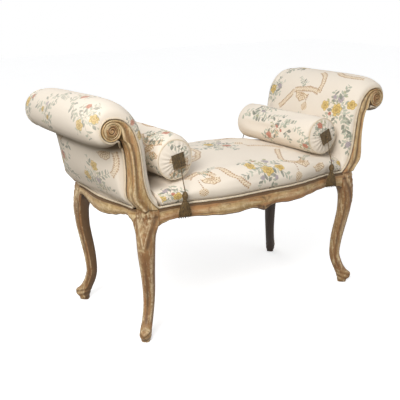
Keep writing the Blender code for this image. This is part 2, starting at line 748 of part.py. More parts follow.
def make_outside_panel(name, side):
    """The arm's outside cover over its stuffing, from under the roll to the end rail."""
    tall = PANEL_TOP - STUFF_Z
    rings = []
    for share in PANEL_STATION_shares:
        along = share * PANEL_HALF
        foot = end_face(along) - SEAT_INSET - PIPE_R * 2 - CREASE
        outer = [(foot, STUFF_Z), (foot, PIPE_Z + PIPE_R)]
        for row, full in PANEL_shares:
            z = STUFF_Z + row * tall
            outer.append((panel_border(z) + PANEL_EDGE + PANEL_BULGE * full * swell(share, 5), z))
        inner = [(panel_border(z) - PANEL_SUNK, z) for _, z in outer[::-1]]
        rings.append([Vector((side * x, along, z)) for x, z in outer + inner])
    return loft(name, rings, COVER)


def seat_height(share):
    return SEAT_END + (SEAT_CROWN - SEAT_END) * math.cos(math.pi / 2 * abs(share))


def seat_row(share):
    """One section of the seat, front edge to back edge, as depth, height pairs."""
    guess = share * pad_face(STUFF_Z, 0.0)
    side = front_face(guess) - SEAT_INSET
    foot = side - PIPE_R * 2 - CREASE
    height = seat_height(share)
    half = [(foot, PIPE_R * 2), (side, SEAT_SHOULDER)]
    for part in SEAT_TURNS_shares:
        turn = math.pi / 2 * part
        half.append((side * math.cos(turn) ** (2 / 3.2),
                     SEAT_SHOULDER + (height - SEAT_SHOULDER) * math.sin(turn) ** (2 / 3.2)))
    return [(-y, z) for y, z in half] + [(0.0, height)] + [(y, z) for y, z in half[::-1]]


def seat_place(share, y, height):
    z = STUFF_Z + height
    return Vector((share * (pad_face(z, y) - CREASE), y, z))


def seat_section(share, part=1.0):
    """Points across the seat, front to back, at a part of its height above its bottom."""
    row = seat_row(share)
    foot = row[-1][0]
    points = []
    for i, (y, z) in enumerate(row):
        flat = foot * (2 * i / (len(row) - 1) - 1)
        points.append(seat_place(share, flat + (y - flat) * part, z * part))
    return points


def make_seat(name):
    """The seat's stuffing in its cover: a crowned pad that fits between the arms."""
    sections = [(seat_section(share), seat_section(share, 0.0)) for share in SEAT_STATION_shares]
    end_rows = [[seat_section(share, part) for part in SEAT_END_ROW_shares[::-1]]
                for share in (SEAT_STATION_shares[0], SEAT_STATION_shares[-1])]
    return pillow(name, sections, end_rows, COVER)


def across(line, place):
    """Height of a line of (place, height) pairs at a place, straight between its points."""
    for (a, low), (b, high) in zip(line, line[1:]):
        if a <= place <= b:
            return low + (high - low) * (place - a) / (b - a)
    return min(line[0][1], line[-1][1])


def seat_ridge():
    """The seat's top along its middle line, as (place, height) pairs."""
    ridge = []
    for share in SEAT_STATION_shares:
        top = seat_place(share, 0.0, seat_height(share))
        ridge.append((top.x, top.z))
    return ridge


def strap_edges(half, count_odd):
    """Edges of straps laid side by side, from the middle out, as one rising list."""
    pitch = WEB_WIDE + WEB_GAP
    middles = [(i - (count_odd - 1) / 2) * pitch for i in range(count_odd)]
    edges = [m + sign * WEB_WIDE / 2 for m in middles for sign in (-1, 1)]
    return [-half, *edges, half]


def make_webbing(name):
    """Woven straps over the rails: a flat grid with a hole between each four straps."""
    reach_x = RAIL_FACE_X - WEB_SEAT - OVERRUN
    reach_y = RAIL_FACE_Y - WEB_SEAT
    count_x = int(2 * (BLOCK_IN_X - WEB_WIDE / 3) / (WEB_WIDE + WEB_GAP))
    count_y = int(2 * (BLOCK_IN_Y + WEB_GAP / 2) / (WEB_WIDE + WEB_GAP))
    xs = strap_edges(reach_x, count_x)
    ys = strap_edges(reach_y, count_y)
    work = bmesh.new()
    grid = {}

    def knot(i, j):
        if (i, j) not in grid:
            grid[i, j] = work.verts.new((xs[i], ys[j], WEB_Z))
        return grid[i, j]

    for i in range(len(xs) - 1):
        for j in range(len(ys) - 1):
            if i % 2 == 1 or j % 2 == 1:
                work.faces.new((knot(i, j), knot(i + 1, j), knot(i + 1, j + 1), knot(i, j + 1)))
    mesh = bpy.data.meshes.new(name)
    work.to_mesh(mesh)
    work.free()
    straps = finish_mesh(name, mesh, JUTE)
    shell = straps.modifiers.new("thick", "SOLIDIFY")
    shell.thickness = WEB_THICK
    shell.offset = 1.0
    return straps


def make_hessian(name):
    reach_x = POST_FOOT_X - CREASE
    reach_y = RAIL_FACE_Y - WEB_SEAT
    return box(name, (-reach_x, -reach_y, HESSIAN_Z),
               (reach_x, reach_y, HESSIAN_Z + HESSIAN_THICK), JUTE)


# Piping

def cover_piping(name, end):
    """Piping from one scroll down its post, along the rail and up the other post."""
    depth = end * (PAD_HALF + GAP + PIPE_R)
    arc = scroll_arc(SCROLL_START_DEG, SCROLL_END_DEG, SCROLL_R, SCROLL_POINTS)
    arm = shifted(INNER_LINE + arc, PIPE_R + GAP * 2)
    arm[0].y = PIPE_Z
    right = [Vector((p.x, depth, p.y)) for p in arm]
    reach = arm[0].x - PIPE_R * 3
    steps = 8
    rail = []
    for i in range(-steps, steps + 1):
        along = reach * i / steps
        face = max(front_face(along) - SEAT_INSET - PIPE_R, abs(depth))
        rail.append(Vector((along, end * face, PIPE_Z)))
    left = [Vector((-p.x, p.y, p.z)) for p in right]
    line = [*left[::-1], *rail, *right]
    return tube(name, line, PIPE_R, PIPING)


def panel_piping(name, side):
    """Piping round an outside panel: down one post, along the end rail, up the other."""
    depth = POST_BACK - GAP - PIPE_R
    low = PIPE_Z + PIPE_R * 2
    rows = 8
    arm = []
    for i in range(rows):
        z = low + (PANEL_TOP - low) * i / (rows - 1)
        arm.append((panel_border(z) + PANEL_EDGE, depth, z))
    steps = 5
    rail = []
    for i in range(-steps, steps + 1):
        along = (depth - PIPE_R * 2) * i / steps
        rail.append((end_face(along) - SEAT_INSET - PIPE_R, along, PIPE_Z))
    line = [*[(x, -y, z) for x, y, z in arm[::-1]], *rail, *arm]
    return tube(name, [Vector((side * x, y, z)) for x, y, z in line], PIPE_R, PIPING)


# Bolsters and tassels

BOLSTER_X = POST_FOOT_X - BOLSTER_IN


def bolster_height():
    """Height of a bolster's axis when it lies on the crowned seat, GAP above it."""
    ridge = seat_ridge()
    rim = []
    for i in range(-TURN_STEPS // 4, TURN_STEPS // 4 + 1):
        turn = math.tau * i / TURN_STEPS
        rim.append((BOLSTER_R * math.sin(turn), BOLSTER_R * math.cos(turn)))
    places = [BOLSTER_X + x for x, _ in rim]
    places += [x for x, _ in ridge if abs(x - BOLSTER_X) < BOLSTER_R]
    return GAP + max(across(ridge, x) + across(rim, x - BOLSTER_X) for x in places)


BOLSTER_Z = bolster_height()
RING_MIDDLE = BOLSTER_R - RING_R * 0.75
RING_Y = BOLSTER_HALF + GAP * 2 + RING_R * 2
DOME_R = RING_MIDDLE - RING_R - GAP
BRAID_Y = RING_Y + BOLSTER_DOME - RING_R + GAP
KNOT_Y = BRAID_Y + BRAID_THICK + GAP + KNOT_R


def carrier(name, place, parent=None):
    """An empty on a joint's axis, which carries the pieces that move with it."""
    empty = bpy.data.objects.new(name, None)
    PARTS.objects.link(empty)
    empty.empty_display_size = BOLSTER_R
    empty.parent = parent
    base = parent.matrix_world.translation if parent else Vector()
    empty.location = Vector(place) - base
    bpy.context.view_layer.update()
    return empty


def carry(empty, solid, local):
    """Hang a solid, whose mesh is made round its own origin, on an empty."""
    solid.parent = empty
    solid.location = local
    return solid


def make_bolster(name, empty):
    crown = BOLSTER_DOME - RING_R
    dome = [(0.0, 1.0), (0.40, 0.91), (0.76, 0.55), (1.0, 0.0)]
    top = [(DOME_R * r, RING_Y + crown * h) for r, h in dome]
    top += [(DOME_R, BOLSTER_HALF), (BOLSTER_R - RING_R / 3, BOLSTER_HALF - GAP),
            (BOLSTER_R, BOLSTER_HALF - RING_R)]
    profile = top + [(r, -y) for r, y in top[::-1]]
    return carry(empty, turned(name, profile, COVER, TURN_STEPS, axis_y=True), (0, 0, 0))


def make_ring(name, empty, end):
    points = []
    for i in range(TURN_STEPS):
        turn = math.tau * i / TURN_STEPS
        points.append((RING_MIDDLE * math.cos(turn), 0.0, RING_MIDDLE * math.sin(turn)))
    ring = tube(name, points, RING_R, PIPING, ring=True)
    return carry(empty, ring, (0, end * (BOLSTER_HALF + GAP * 2 + RING_R), 0))


def make_braid(name, empty, side, end):
    half = BRAID_SIDE / 2
    patch = box(name, (-half, 0, -half), (half, BRAID_THICK, half), BRAID)
    patch.rotation_euler = (0.0, end * math.pi / 2 * BRAID_TURN_shares[side], 0.0)
    return carry(empty, patch, (0, end * (BRAID_Y + BRAID_THICK / 2), 0))


def make_tassel(tag, bolster, side, end):
    """A tassel on its cord, which swings on the knot that holds it to the bolster."""
    knot_at = Vector((side * BOLSTER_X, end * KNOT_Y, BOLSTER_Z))
    empty = carrier("tassel_pivot_" + tag, knot_at, bolster)
    carry(empty, ball("tassel_knot_" + tag, KNOT_R, (0, 0, 0), THREAD), (0, 0, 0))
    head_at = Vector((0.0, end * TASSEL_LEAN, -TASSEL_DROP))
    way = head_at.normalized()
    start = way * (KNOT_R + GAP)
    line = [start.lerp(head_at - Vector((0, 0, -GAP)), i / 11) for i in range(12)]
    cord = tube("tassel_cord_" + tag, line, CORD_R, THREAD, 2)
    carry(empty, cord, (0, 0, 0))
    profile = [(0.0, 0.0), (CORD_R * 1.6, -HEAD_HIGH * 0.04), (HEAD_R * 0.75, -HEAD_HIGH * 0.16),
               (HEAD_R, -HEAD_HIGH * 0.42), (HEAD_R * 0.9, -HEAD_HIGH * 0.66),
               (HEAD_R * 0.6, -HEAD_HIGH * 0.86), (HEAD_R * 0.66, -HEAD_HIGH),
               (0.0, -HEAD_HIGH)]
    carry(empty, turned("tassel_head_" + tag, profile, THREAD, 12), head_at)
    levels = [(0.0, 0.34), (0.25, 0.56), (0.6, 0.84), (1.0, 1.0)]
    rings = []
    for down, full in levels:
        z = -HEAD_HIGH - GAP - down * SKIRT_HIGH
        wide, thin = SKIRT_WIDE * full, max(SKIRT_THIN * full, HEAD_R * 0.7)
        ring = []
        for i in range(12):
            turn = math.tau * i / 12
            ring.append(Vector((wide * math.cos(turn), thin * math.sin(turn), z)))
        rings.append(ring)
    carry(empty, loft("tassel_skirt_" + tag, rings, THREAD), head_at)


def build():
    for end_name, end in ENDS.items():
        for side_name, side in SIDES.items():
            tag = f"{end_name}_{side_name}"
            leg_with_joints("leg_" + tag, side, end)
            make_post("arm_post_" + tag, side, end)
            make_corner_block("corner_block_" + tag, side, end)
        make_rail(end_name + "_rail", BLOCK_IN_X, front_face, RAIL_BACK_Y, FRONT_APRON_shares,
                  lambda a, o, z, end=end: Vector((a, end * o, z)), 24)
        cover_piping(end_name + "_piping", end)
    for side_name, side in SIDES.items():
        make_rail(side_name + "_end_rail", BLOCK_IN_Y, end_face, RAIL_BACK_X, END_APRON_shares,
                  lambda a, o, z, side=side: Vector((side * o, a, z)), 14)
        make_top_bar("arm_top_bar_" + side_name, side)
        make_low_bar("arm_low_bar_" + side_name, side)
        make_arm_webbing("arm_webbing_" + side_name, side)
        make_arm_pad("arm_pad_" + side_name, side)
        make_outside_panel("outside_panel_" + side_name, side)
        panel_piping("panel_piping_" + side_name, side)
        bolster = carrier("bolster_place_" + side_name, (side * BOLSTER_X, 0.0, BOLSTER_Z))
        make_bolster("bolster_" + side_name, bolster)
        for end_name, end in ENDS.items():
            tag = f"{end_name}_{side_name}"
            make_ring("bolster_piping_" + tag, bolster, end)
            make_braid("braid_square_" + tag, bolster, side, end)
            make_tassel(tag, bolster, side, end)
    make_webbing("seat_webbing")
    make_hessian("seat_hessian")
    make_seat("seat_pad")


build()
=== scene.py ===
"""Looks of the window seat: painted and carved frame, printed cover, bolsters and tassels.

Metres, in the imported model's frame: +X is the seat's right, -Y its front and +Z up.
Most pieces are made by functions that take a side (-1 left, +1 right) and an end
(-1 front, +1 back). Values named *_share(s) are shares of the size that they belong to.
"""
import json
from math import atan2, copysign, cos, degrees, exp, hypot, pi, radians, sin, sqrt, tanh, tau

import bmesh
import bpy
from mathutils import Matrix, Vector, noise


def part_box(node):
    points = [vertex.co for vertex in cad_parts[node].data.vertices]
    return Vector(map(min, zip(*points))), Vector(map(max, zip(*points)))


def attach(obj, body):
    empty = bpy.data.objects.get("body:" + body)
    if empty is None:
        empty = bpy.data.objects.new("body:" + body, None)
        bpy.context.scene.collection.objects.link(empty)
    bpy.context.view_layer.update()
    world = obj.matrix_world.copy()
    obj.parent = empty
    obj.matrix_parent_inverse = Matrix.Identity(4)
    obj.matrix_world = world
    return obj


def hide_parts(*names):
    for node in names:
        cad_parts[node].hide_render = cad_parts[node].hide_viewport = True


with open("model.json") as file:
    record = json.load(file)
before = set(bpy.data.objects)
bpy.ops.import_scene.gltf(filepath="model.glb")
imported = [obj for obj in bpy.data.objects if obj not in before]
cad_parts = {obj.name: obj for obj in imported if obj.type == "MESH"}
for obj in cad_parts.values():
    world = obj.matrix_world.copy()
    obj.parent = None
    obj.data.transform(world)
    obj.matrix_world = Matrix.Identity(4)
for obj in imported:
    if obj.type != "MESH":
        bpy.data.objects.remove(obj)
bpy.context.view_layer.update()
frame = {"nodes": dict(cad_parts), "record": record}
NODES = frame["nodes"]

SIDES = {"left": -1, "right": 1}
ENDS = {"front": -1, "back": 1}

# Camera, solved from the photograph
CAMERA_AT = (-1.5806, -2.1090, 1.0943)
CAMERA_YAW_DEG = 35.54
CAMERA_DOWN_DEG = 16.11
CAMERA_LENS = 70.89

# Sizes of the frame, as in the part's source
GAP = 0.0003
CREASE = 0.0008
RAIL_TOP = 0.420
FOOT_X = 0.425
FOOT_Y = 0.204
LEG_THICK = 0.050
BLOCK_IN = 0.042
RAIL_FACE_X = 0.450
RAIL_FACE_Y = 0.222
RAIL_BOW_X = 0.0145
RAIL_BOW_Y = 0.038
RAIL_BACK = 0.032
RAIL_DEPTH = 0.046
APRON_MORE = 0.003          # the rails' worn lower edges, below the plain form
POST_FOOT_X = 0.381
POST_FACE = 0.223
POST_DEPTH = 0.040
ARM_SPREAD_X = 0.151
ARM_RISE = 0.252
SCROLL_R = 0.031
PIPE_R = 0.0034
PAD_THICK = 0.041
PAD_HALF = 0.2135
PAD_END = 0.0055
ROLL_SWELLS = {-1: 0.032, 1: 0.036}
PANEL_BULGE = 0.036
PANEL_EDGE = 0.002
PANEL_SUNK = 0.008
PANEL_DROP = 0.061
SEAT_CROWN = 0.0965
SEAT_END = 0.0545
SEAT_INSET = 0.0030
SEAT_SHOULDER = 0.0125
HESSIAN_RISE = 0.0035       # bottom of the stuffing above the rails' top

# Places worked out from them
BLOCK_IN_X = FOOT_X - BLOCK_IN
BLOCK_IN_Y = FOOT_Y - BLOCK_IN
POST_BACK = POST_FACE - POST_DEPTH
SCROLL_X = POST_FOOT_X + ARM_SPREAD_X
SCROLL_Z = RAIL_TOP + ARM_RISE
STUFF_Z = RAIL_TOP + HESSIAN_RISE
PIPE_Z = RAIL_TOP + GAP + PIPE_R
PANEL_TOP = SCROLL_Z - PANEL_DROP
PANEL_HALF = POST_BACK - GAP * 2 - PIPE_R * 2 - CREASE

# Tables of shares, as in the part's source
FRONT_PLAN_shares = [(0.0, 0.93), (0.13, 0.97), (0.27, 1.0), (0.42, 0.88), (0.56, 0.59),
                     (0.70, 0.27), (0.84, 0.06), (1.0, 0.0)]
POST_INNER_shares = [(0.0, 0.0), (0.113, 0.063), (0.199, 0.133), (0.265, 0.216),
                     (0.335, 0.37), (0.372, 0.54), (0.404, 0.70), (0.455, 0.83),
                     (0.545, 0.963), (0.68, 1.060), (0.80, 1.104), (0.925, 1.121)]
POST_OUTER_shares = [(0.351, 0.0), (0.46, 0.079), (0.55, 0.143), (0.582, 0.23),
                     (0.572, 0.36), (0.570, 0.50), (0.590, 0.63), (0.625, 0.75),
                     (0.682, 0.841), (0.760, 0.882)]
SCROLL_START_DEG = 90
SCROLL_END_DEG = -120
# Arm padding from the seat round the roll, as each arm shows it in the photograph
PAD_LEFT_shares = [(0.0, 0.73), (0.10, 0.86), (0.22, 1.0), (0.36, 0.97), (0.50, 0.98),
                   (0.64, 1.01), (0.78, 1.06), (0.90, 0.74), (1.0, 0.52)]
PAD_RIGHT_shares = [(0.0, 0.73), (0.10, 0.86), (0.22, 1.0), (0.36, 0.92), (0.50, 0.80),
                    (0.64, 0.79), (0.78, 0.80), (0.90, 0.70), (1.0, 0.56)]
# How much thinner the roll gets from its middle to its back
ROLL_LEAN_share = {-1: 0.12, 1: 0.03}
PANEL_shares = [(0.0, 0.0), (0.09, 0.26), (0.20, 0.46), (0.33, 0.74), (0.47, 1.0),
                (0.62, 1.20), (0.80, 1.34), (1.0, 1.42)]
# Tuck of a panel's top under the roll: height above its top edge, share of the bulge left
PANEL_TUCK = [(0.005, 0.86), (0.010, 0.58), (0.015, 0.32), (0.019, 0.12)]
PANEL_BACK_POWER = 9        # how square a panel is towards its back end
PANEL_FRONT_POWER = 4


# Lines and tables

def read_table(table, place):
    """Value at a place in a table of pairs, eased between its rows."""
    if place <= table[0][0]:
        return table[0][1]
    for (a, low), (b, high) in zip(table, table[1:]):
        if place <= b:
            t = (place - a) / (b - a)
            return low + (high - low) * t * t * (3 - 2 * t)
    return table[-1][1]


def read_smooth(table, place):
    """Value at a place in a table of pairs, on a smooth curve through its rows."""
    k = 0
    while k < len(table) - 2 and table[k + 1][0] < place:
        k += 1
    (a, low), (b, high) = table[k], table[k + 1]
    before, after = table[max(k - 1, 0)], table[min(k + 2, len(table) - 1)]
    span = b - a
    t = min(1.0, max(0.0, (place - a) / span))
    start = (high - before[1]) / max(b - before[0], span) * span
    stop = (after[1] - low) / max(after[0] - a, span) * span
    return ((2 * t ** 3 - 3 * t ** 2 + 1) * low + (t ** 3 - 2 * t ** 2 + t) * start
            + (3 * t ** 2 - 2 * t ** 3) * high + (t ** 3 - t ** 2) * stop)


def spline(points, steps=12):
    """Many points on a smooth curve through the given ones."""
    knots = [points[0] * 2 - points[1], *points, points[-1] * 2 - points[-2]]
    fine = []
    for a, b, c, d in zip(knots, knots[1:], knots[2:], knots[3:]):
        for step in range(steps):
            t = step / steps
            fine.append((b * 2 + (c - a) * t + (a * 2 - b * 5 + c * 4 - d) * t ** 2
                         + (b * 3 - a - c * 3 + d) * t ** 3) / 2)
    fine.append(points[-1].copy())
    return fine


def reach_along(line):
    """Distance of each point of a line from its start."""
    reach = [0.0]
    for a, b in zip(line, line[1:]):
        reach.append(reach[-1] + (b - a).length)
    return reach


def evenly(line, count):
    """Count points at equal steps along a line."""
    reach = reach_along(line)
    made = []
    k = 0
    for i in range(count):
        goal = reach[-1] * i / (count - 1)
        while k < len(line) - 2 and reach[k + 1] < goal:
            k += 1
        step = reach[k + 1] - reach[k]
        part = (goal - reach[k]) / step if step else 0.0
        made.append(line[k].lerp(line[k + 1], min(max(part, 0.0), 1.0)))
    return made


def shifted(line, distance):
    """A line moved sideways, to its left as it runs, by one distance or one for each point."""
    made = []
    for i, point in enumerate(line):
        ahead = line[min(i + 1, len(line) - 1)] - line[max(i - 1, 0)]
        left = Vector((-ahead.y, ahead.x)).normalized()
        made.append(point + left * (distance[i] if isinstance(distance, list) else distance))
    return made


def edge_at(line, height):
    """Where a line of the arm's XZ plane passes a height on its way up."""
    if height <= line[0].y:
        return line[0].x
    for a, b in zip(line, line[1:]):
        if a.y <= height <= b.y:
            return a.x + (b.x - a.x) * (height - a.y) / max(b.y - a.y, GAP / 100)
    return line[-1].x


def eased(value, low, high):
    """0 below low, 1 above high, and smooth between them."""
    t = min(1.0, max(0.0, (value - low) / (high - low)))
    return t * t * (3 - 2 * t)


def bell(value, middle, width):
    """1 where a value is at the middle, and less the more widths it is away."""
    return exp(-((value - middle) / width) ** 2)


def circle(count):
    """Each point of a circle: its angle, cosine and sine."""
    return [(turn, cos(turn), sin(turn)) for turn in (tau * k / count for k in range(count))]


def ripple(point, size, seed):
    """Smooth noise from -1 to 1, of bumps of about a size."""
    return noise.noise(Vector(point) / size + Vector((seed * 7.3, seed * 3.1, seed * 5.7)))


def on_arm(shares):
    return [Vector((POST_FOOT_X + x * ARM_SPREAD_X, RAIL_TOP + GAP + z * ARM_RISE))
            for x, z in shares]


def scroll_point(angle_deg, radius):
    turn = radians(angle_deg)
    return Vector((SCROLL_X + radius * cos(turn), SCROLL_Z + radius * sin(turn)))


INNER_LINE = spline(on_arm(POST_INNER_shares))
OUTER_LINE = spline(on_arm(POST_OUTER_shares))


def front_face(along):
    """Distance of a long rail's face from the middle plane, at a place along it."""
    return RAIL_FACE_Y + RAIL_BOW_Y * read_table(FRONT_PLAN_shares, abs(along) / BLOCK_IN_X)


def end_face(along):
    bow = cos(pi / 2 * min(1.0, abs(along) / BLOCK_IN_Y)) ** 2
    return RAIL_FACE_X + RAIL_BOW_X * bow


def swell(share, power):
    """Fullness of a stuffed piece at a share of its half length: square with round ends."""
    return max(0.0, 1 - abs(share) ** power) ** (1 / power)


# Nodes of materials

def ink(code):
    """A colour written as #RRGGBB, as the linear numbers that a node takes."""
    parts = [int(code[i:i + 2], 16) / 255 for i in (1, 3, 5)]
    return (*[p / 12.92 if p <= 0.04045 else ((p + 0.055) / 1.055) ** 2.4 for p in parts], 1.0)


class Value:
    """A node's output. Sums and comparisons with it add nodes to its tree."""

    def __init__(self, maker, socket):
        self.maker = maker
        self.socket = socket

    def __add__(self, other):
        return self.maker.math("ADD", self, other)

    def __mul__(self, other):
        return self.maker.math("MULTIPLY", self, other)

    def __sub__(self, other):
        return self.maker.math("SUBTRACT", self, other)

    def __rsub__(self, other):
        return self.maker.math("SUBTRACT", other, self)

    def __truediv__(self, other):
        return self.maker.math("DIVIDE", self, other)

    def __lt__(self, other):
        return self.maker.math("LESS_THAN", self, other)

    def __gt__(self, other):
        return self.maker.math("GREATER_THAN", self, other)

    def __abs__(self):
        return self.maker.math("ABSOLUTE", self)

    __radd__ = __add__
    __rmul__ = __mul__


class Maker:
    """Adds nodes to a tree. A value may be a number, a colour, #RRGGBB or an output."""

    def __init__(self, tree):
        self.tree = tree

    def put(self, socket, value):
        if isinstance(value, Value):
            self.tree.links.new(value.socket, socket)
        else:
            socket.default_value = ink(value) if isinstance(value, str) else value

    def node(self, kind, values=None, out=0, **settings):
        """An output, by number or name, of a new node with these values and settings."""
        made = self.tree.nodes.new("ShaderNode" + kind)
        for key, value in settings.items():
            setattr(made, key, value)
        for key, value in (values or {}).items():
            self.put(made.inputs[key], value)
        return Value(self, made.outputs[out])

    def math(self, operation, *values):
        return self.node("Math", dict(enumerate(values)), operation=operation)

    def vector(self, operation, *values):
        out = "Value" if operation == "DOT_PRODUCT" else "Vector"
        return self.node("VectorMath", dict(enumerate(values)), out, operation=operation)

    def mix(self, share, first, second):
        return self.node("Mix", {0: share, 6: first, 7: second}, 2, data_type="RGBA")

    def step(self, value, low, high):
        """0 where the value is at low, 1 where it is at high, smooth between them."""
        return self.node("MapRange", {0: value, 1: low, 2: high}, interpolation_type="SMOOTHSTEP")

    def noise(self, place, scale, detail=2.0, rough=0.5):
        values = {"Vector": place, "Scale": scale, "Detail": detail, "Roughness": rough}
        return self.node("TexNoise", values)

    def chance(self, number):
        """A random value from 0 to 1 that belongs to a number."""
        return self.node("TexWhiteNoise", {"W": number}, noise_dimensions="1D")

    def most(self, *values):
        made = values[0]
        for value in values[1:]:
            made = self.math("MAXIMUM", made, value)
        return made

    def length(self, x, y):
        return self.math("SQRT", x * x + y * y)

    def round_turn(self, angle):
        return self.math("COSINE", angle), self.math("SINE", angle)

    def near_middle(self, value):
        """Distance of a value from the middle between whole numbers, up to a half."""
        return abs(self.math("FRACT", value) - 0.5)

    def off_beat(self, value, pitch):
        """Distance of a value from the nearest multiple of a pitch."""
        return (0.5 - self.near_middle(value / pitch)) * pitch

    def under(self, value, limit, soft):
        """1 where the value is under the limit, 0 past it, over a soft edge."""
        return self.step(value, limit + soft, limit - soft)

    def apart(self, vector):
        return [self.node("SeparateXYZ", {0: vector}, k) for k in range(2)]

    def weave(self, place, pitch):
        """Threads that cross, from -1 to 1."""
        u, v = [self.math("SINE", part * (tau / pitch)) for part in self.apart(place)]
        return u * v

    def on_object(self):
        return self.node("TexCoord", out="Object")

    def attribute(self, name):
        return self.node("Attribute", out="Fac", attribute_name=name)


class Finish(Maker):
    """A new material and its Principled shader."""

    def __init__(self, name):
        self.material = bpy.data.materials.new(name)
        self.material.use_nodes = True
        super().__init__(self.material.node_tree)
        self.shader = self.tree.nodes["Principled BSDF"]

    def done(self, colour, rough, height, distance, strength, **others):
        """The material, given its colour, roughness, bump and the shader's other values."""
        bump = self.node("Bump", {"Height": height, "Distance": distance, "Strength": strength})
        values = {"Base Color": colour, "Roughness": rough, "Normal": bump}
        for key, value in others.items():
            values[SHADER_NAMES[key]] = value
        for key, value in values.items():
            self.put(self.shader.inputs[key], value)
        return self.material


SHADER_NAMES = {"specular": "Specular IOR Level", "sheen": "Sheen Weight", "metallic": "Metallic"}


def group(name, inputs, output_kind, outputs, draw):
    """A node group: its inputs as pairs of label and kind, and what a function draws of them."""
    tree = bpy.data.node_groups.new(name, "ShaderNodeTree")
    for label, kind in inputs:
        tree.interface.new_socket(label, in_out="INPUT", socket_type="NodeSocket" + kind)
    for label in outputs:
        tree.interface.new_socket(label, in_out="OUTPUT", socket_type="NodeSocket" + output_kind)
    start = tree.nodes.new("NodeGroupInput")
    stop = tree.nodes.new("NodeGroupOutput")
    m = Maker(tree)
    made = draw(m, *[Value(m, start.outputs[label]) for label, _ in inputs])
    for label, value in zip(outputs, made):
        m.put(stop.inputs[label], value)
    return tree


def motif(name, inputs, outputs, draw):
    """A node group that draws one motif: numbers in, masks out."""
    inputs = [(label, "Float") for label in inputs.split()]
    return group(name, inputs, "Float", outputs.split(), draw)


def use(maker, tree, *values):
    """The outputs of a node group, drawn with these values."""
    made = maker.tree.nodes.new("ShaderNodeGroup")
    made.node_tree = tree
    for socket, value in zip(made.inputs, values):
        maker.put(socket, value)
    return [Value(maker, socket) for socket in made.outputs]


# The printed cotton: its motifs

INK_EDGE = 0.00045          # softness of a printed edge
STEM_HALF = 0.0006
VEIN_HALF = 0.0003
LEAF_PITCH = 0.0165         # along a bouquet's arms
LEAF_LONG = 0.0225
RIBBON_HALF = 0.0085
RIBBON_STRING = 0.0075      # from a ribbon's middle to its strings of beads
RIBBON_PITCH = 0.0078
RIBBON_BEAD_R = 0.0033
SEED_PITCH = 0.0104
SEED_R = 0.0019
RAY_PITCH = 0.40            # of a shell's rays, in radians
RAY_BEAD_PITCH = 0.0070
RAY_BEAD_R = 0.0026
STRING_PITCH = 0.0080       # of the beads that a drop hangs from
STRING_BEAD_R = 0.0028
BALL_PITCH = 0.0088
THREAD_PITCH = 0.0011       # of the cotton's weave
JUTE_PITCH = 0.0022
SHAKE = 0.009               # how far the print's lines waver


def draw_spray(m, x, y, length, pitch, leaf, seed):
    """A stem along +x with loose leaves on both sides, by turns."""
    side = abs(y)
    below = y < 0.0
    cell = x / pitch + below * 0.5
    chance = m.chance(m.math("FLOOR", cell) + below * 40.0 + seed)
    part = m.math("FRACT", cell) * pitch
    size = leaf * (1.20 - x / (length * 2.4)) * (0.72 + chance * 0.42)
    c, s = m.round_turn(0.62 + m.math("FRACT", chance * 7.0) * 0.60)
    off = abs(side * c - part * s)
    t = (part * c + side * s) / size
    inside = (x > 0.0) * (x < length)
    blade = m.under(off, t * (1.0 - t) * (size * 0.92), INK_EDGE) * (inside * (chance > 0.12))
    stem = m.under(side, STEM_HALF, INK_EDGE) * inside
    return blade, stem, m.under(off, VEIN_HALF, INK_EDGE) * blade, chance


def draw_flower(m, x, y, radius, petals):
    """A flower seen from above: its petals, the lines in them and its heart."""
    far = m.length(x, y)
    c, s = m.round_turn(m.math("ARCTAN2", y, x) * (petals * 0.5))
    edge = radius * (0.74 + abs(c) * 0.26)
    inner = radius * (0.46 + abs(s) * 0.16)
    ring = m.under(abs(far - inner), 0.0012, 0.0009)
    rim = m.under(abs(far - edge), 0.0010, 0.0006)
    heart = m.under(far, radius * 0.30, radius * 0.26)
    return m.under(far, edge, INK_EDGE), m.most(ring, rim), heart


def draw_ribbon(m, across, along):
    """A ribbon of two strings of beads with seeds between them: its band and its dots."""
    side = abs(across)
    bead = m.length(m.off_beat(along, RIBBON_PITCH), side - RIBBON_STRING)
    dots = m.under(bead, RIBBON_BEAD_R, 0.0007)
    seed = m.off_beat(along + across * 1.2, SEED_PITCH)
    seeds = m.under(m.length(seed, across * 0.45), SEED_R, INK_EDGE)
    return m.under(side, RIBBON_HALF, INK_EDGE), m.most(dots, seeds * 0.7)


def draw_shell(m, x, y, radius):
    """A fan of beaded rays that opens along +x: its body and its rays."""
    far = m.length(x, y)
    share = far / radius
    angle = m.math("ARCTAN2", y, x)
    fan = m.under(abs(angle), 1.45, 0.05)
    rays = m.length(m.off_beat(angle, RAY_PITCH) * far, m.off_beat(far, RAY_BEAD_PITCH))
    rays = m.under(rays, RAY_BEAD_R, 0.0006) * (share < 0.92)
    edge = 0.90 + abs(m.math("COSINE", angle * 3.9)) * 0.10
    rim = m.under(abs(share - edge), 0.045, 0.02)
    return (share < edge) * fan, m.most(rays, rim) * fan


def draw_drop(m, x, y, length, radius):
    """A string of beads along +x and the seeded ball at its end: its ball and its beads."""
    string = m.under(m.length(m.off_beat(x, STRING_PITCH), y), STRING_BEAD_R, 0.0006)
    along = x - (length + radius)
    ball = m.under(m.length(along, y), radius, 0.001)
    a = m.near_middle((along + y) / BALL_PITCH)
    b = m.near_middle((along - y) / BALL_PITCH)
    seeds = m.under(m.length(a, b), 0.35, 0.06) * ball
    return ball, m.most(string * ((x > 0.0) * (x < length)), seeds)


SPRAY = motif("spray", "x y length pitch leaf seed", "blade stem vein chance", draw_spray)
FLOWER = motif("flower", "x y radius petals", "petal line heart", draw_flower)
RIBBON = motif("ribbon", "across along", "band dots", draw_ribbon)
SHELL = motif("shell", "x y radius", "body rays", draw_shell)
DROP = motif("drop", "x y length radius", "ball beads", draw_drop)

